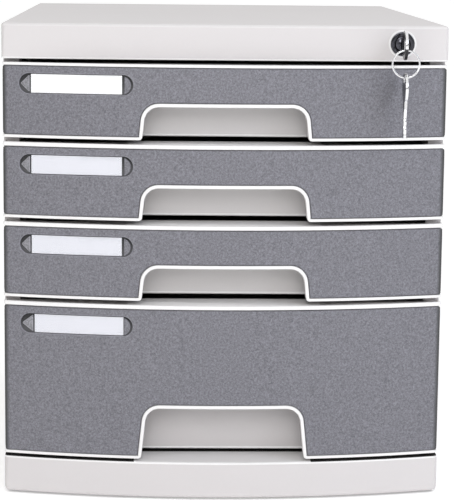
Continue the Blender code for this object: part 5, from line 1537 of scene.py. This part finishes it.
in_low, in_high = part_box("lock_key")
spare_low, spare_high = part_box("spare_key")
key_tip_y, key_middle_z = in_high.y, (in_low.z + in_high.z) / 2
spare_tip_z, spare_middle_y = spare_low.z, (spare_low.y + spare_high.y) / 2
main_key = key_piece("key_in_lock", "lock_key", lambda s, v: (key_tip_y - s, key_middle_z + v),
                     key_middle_z - DARK_REFLECTION_DROP)
spare = key_piece("key_spare", "spare_key", lambda s, v: (spare_middle_y + v, spare_tip_z + s))
print("keys:", len(main_key.data.polygons), "and", len(spare.data.polygons), "faces")

# %% [markdown]
# ## The split ring
#
# A key ring is two turns of flat spring wire that lie against each other, with a short crossing where one
# turn climbs over the other. Its path is a plain formula, and the rims' sweep tree draws the wire along it.

# %% Wind the ring
WIRE_DEPTH, WIRE_WIDTH, WIRE_ROUND = 1.15 * MM, 0.54 * MM, 0.2 * MM
WIRE_GAP, RING_SPARE = 0.03 * MM, 0.02 * MM
CROSSING, WIRE_START, WIRE_END = 0.55, 2.2, 0.7
RING_TURN_STEPS = 72


def wind_ring():
    """Two turns of wire; the angles where the first begins and the second stops short are in radians."""
    low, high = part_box("key_ring")
    centre = (low + high) / 2
    radius = (high.x - low.x) / 2 - WIRE_DEPTH / 2 - RING_SPARE
    last = 2 * math.tau - WIRE_END
    path = []
    for i in range(2 * RING_TURN_STEPS):
        turn = last * i / (2 * RING_TURN_STEPS - 1)
        share = min(1.0, max(0.0, (turn - (math.tau - CROSSING)) / CROSSING))
        climb = (share * share * (3 - 2 * share) - 0.5) * (WIRE_WIDTH + WIRE_GAP)
        out = Vector((math.sin(turn + WIRE_START), 0, math.cos(turn + WIRE_START)))
        path.append((centre + out * radius + Vector((0, climb, 0)), tuple(out), 1.0))
    sizes = {"Width": WIRE_WIDTH, "Depth": WIRE_DEPTH, "Rounding": WIRE_ROUND, "Finish": finishes["chrome"]}
    return grow("ring_wire", path_mesh("ring_path", [path]), sweep_tree, sizes, "key_ring", "chrome")


ring = wind_ring()
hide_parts("key_ring")
print("ring:", len(ring.data.polygons), "faces")

# %% [markdown]
# ## Screws
#
# Sixteen equal screws hold the cabinet together. One pan head with a cross recess is modelled once and
# Geometry Nodes put it on a cloud of points, one for each screw of a body, turned to face the way that is
# stored on the point. Each of them has its own twist, because nobody tightens screws to the same angle.

# %% Model one screw
SCREW_RADIUS, SCREW_HEAD, SCREW_RISE, SCREW_LENGTH = 1.5 * MM, 2.8 * MM, 1.8 * MM, 10.0 * MM
HEAD_ROUND, HEAD_EDGE, HEAD_STEPS = 0.6, 0.3, 6
TIP_SHARE, TIP_HEIGHT = 0.45, 0.5 * MM
THREAD_PITCH, THREAD_DEPTH, THREAD_START, THREAD_LESS = 1.0 * MM, 0.22 * MM, 1.2 * MM, 1.5 * MM
SCREW_STEPS = 20


def linked(name, bm):
    """A bmesh with its normals outwards, as an object of the scene."""
    bmesh.ops.recalc_face_normals(bm, faces=bm.faces)
    item = bpy.data.objects.new(name, bpy.data.meshes.new(name))
    bm.to_mesh(item.data)
    bm.free()
    scene.collection.objects.link(item)
    return item


def make_screw_blank():
    """One screw: its head starts at zero and rises along Z, its shank goes down."""
    profile = [(0.0, -SCREW_LENGTH), (SCREW_RADIUS * TIP_SHARE, -SCREW_LENGTH + TIP_HEIGHT)]
    for i in range(int((SCREW_LENGTH - THREAD_LESS) / THREAD_PITCH)):
        z = -SCREW_LENGTH + THREAD_START + i * THREAD_PITCH
        profile += [(SCREW_RADIUS - THREAD_DEPTH, z), (SCREW_RADIUS, z + THREAD_PITCH / 2)]
    profile += [(SCREW_RADIUS - THREAD_DEPTH, 0.0), (SCREW_HEAD, 0.0)]
    dome = [math.radians(90 * i / HEAD_STEPS) for i in range(HEAD_STEPS + 1)]
    profile += [(SCREW_HEAD - SCREW_RISE * HEAD_ROUND * (1 - math.cos(t)),
                 SCREW_RISE * (HEAD_EDGE + (1 - HEAD_EDGE) * math.sin(t))) for t in dome]
    profile += [(0.0, SCREW_RISE)]
    bm = bmesh.new()
    rings = []
    for radius, z in profile:
        turns = [math.tau * i / SCREW_STEPS for i in range(SCREW_STEPS if radius else 1)]
        rings.append([bm.verts.new((radius * math.cos(t), radius * math.sin(t), z)) for t in turns])
    skin(bm, rings)
    return linked("screw", bm)


screw_blank = make_screw_blank()
print("the blank:", len(screw_blank.data.polygons), "faces")

# %% Cut the screw's cross
CROSS_WIDTH, CROSS_REACH, CROSS_DEPTH, CROSS_ABOVE = 0.6 * MM, 1.5 * MM, 1.0 * MM, 1.0 * MM
CROSS_TAPER = (0.5, 0.8)


def make_cross_bar(long, short):
    """One bar of the cross: it narrows towards its floor."""
    bm = bmesh.new()
    high, low = SCREW_RISE + CROSS_ABOVE, SCREW_RISE - CROSS_DEPTH
    top = [bm.verts.new((x * long, y * short, high)) for x, y in SQUARE]
    deep = [bm.verts.new((x * long * CROSS_TAPER[0], y * short * CROSS_TAPER[1], low)) for x, y in SQUARE]
    bm.faces.new(top)
    bm.faces.new(deep[::-1])
    bridge(bm, top, deep)
    return linked("cross", bm)


def make_screw_source(blank):
    """The screw with its cross cut out, for the node tree to repeat."""
    cutters = [make_cross_bar(CROSS_REACH, CROSS_WIDTH / 2), make_cross_bar(CROSS_WIDTH / 2, CROSS_REACH)]
    for cutter in cutters:
        carve = blank.modifiers.new("carve", "BOOLEAN")
        carve.operation, carve.solver, carve.object = "DIFFERENCE", "EXACT", cutter
    mesh = bpy.data.meshes.new_from_object(blank.evaluated_get(bpy.context.evaluated_depsgraph_get()))
    for item in (blank, *cutters):
        bpy.data.objects.remove(item)
    source = bpy.data.objects.new("screw_source", mesh)
    scene.collection.objects.link(source)
    return source


screw_source = make_screw_source(screw_blank)
print("one screw:", len(screw_source.data.polygons), "faces")

# %% Build the screws' tree
def make_screw_tree():
    """One screw on each point, turned the way that the point says."""
    tree, given, out = new_tree("screw_set", [
        ("Screw", "NodeSocketObject"), ("Size", "NodeSocketFloat"), ("Finish", "NodeSocketMaterial")])
    value = given.outputs
    source = add_node(tree, "GeometryNodeObjectInfo", [("Object", value["Screw"])])
    aim = add_node(tree, "FunctionNodeAlignRotationToVector",
                   [("Vector", read_attribute(tree, "facing", "FLOAT_VECTOR"))], axis="Z")
    twist = add_node(tree, "ShaderNodeCombineXYZ", [("Z", read_attribute(tree, "twist", "FLOAT"))])
    turned = add_node(tree, "FunctionNodeRotateRotation",
                      [("Rotation", aim.outputs[0]), ("Rotate By", twist.outputs[0])], rotation_space="LOCAL")
    placed = add_node(tree, "GeometryNodeInstanceOnPoints",
                      [("Points", value["Geometry"]), ("Instance", source.outputs["Geometry"]),
                       ("Rotation", turned.outputs[0]), ("Scale", value["Size"])])
    close_tree(tree, placed.outputs[0], value["Finish"], out)
    return tree


screw_tree = make_screw_tree()
print("screw inputs:", [s.name for s in screw_tree.interface.items_tree if s.in_out == "INPUT"])

# %% Drive the screws
UP, DOWN, BACK = Vector((0, 0, 1)), Vector((0, 0, -1)), Vector((0, 1, 0))
TWIST_START, TWIST_STEP, TWIST_LETTER = 0.7, 1.9, 0.3

screw_sets = [("lid_screws", "cabinet", [f"lid_screw_{i}" for i in range(1, 5)], DOWN),
              ("base_screws", "cabinet", [f"base_screw_{i}" for i in range(1, 5)], UP)]
for name in (f"drawer_{number}" for number in drawers):
    screw_sets.append((name + "_screws", name, [name + "_screw_left", name + "_screw_right"], BACK))


def place_screws(name, body, node_names, facing):
    """The screws of one body, each with its own twist in radians."""
    points, twists = [], []
    for i, node_name in enumerate(node_names):
        low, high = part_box(node_name)
        head_side = Vector([h if f > 0 else l for l, h, f in zip(low, high, facing)])
        middle = (low + high) / 2
        seat = Vector([s - f * SCREW_RISE if f else m for s, m, f in zip(head_side, middle, facing)])
        points.append(seat)
        twists.append(TWIST_START + TWIST_STEP * i + len(name) * TWIST_LETTER)
    mesh = bpy.data.meshes.new(name)
    mesh.from_pydata(points, [], [])
    mesh.attributes.new("facing", "FLOAT_VECTOR", "POINT").data.foreach_set("vector", [*facing] * len(points))
    mesh.attributes.new("twist", "FLOAT", "POINT").data.foreach_set("value", twists)
    screws = grow(name, mesh, screw_tree, {"Screw": screw_source, "Size": 1.0, "Finish": finishes["steel"]},
                  body, "zinc_steel")
    screws.data.set_sharp_from_angle(angle=METAL_SHARP)
    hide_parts(*node_names)
    return screws


for name, body, node_names, facing in screw_sets:
    screws = place_screws(name, body, node_names, facing)
    print(name, len(screws.data.polygons), "faces")
bpy.data.objects.remove(screw_source)
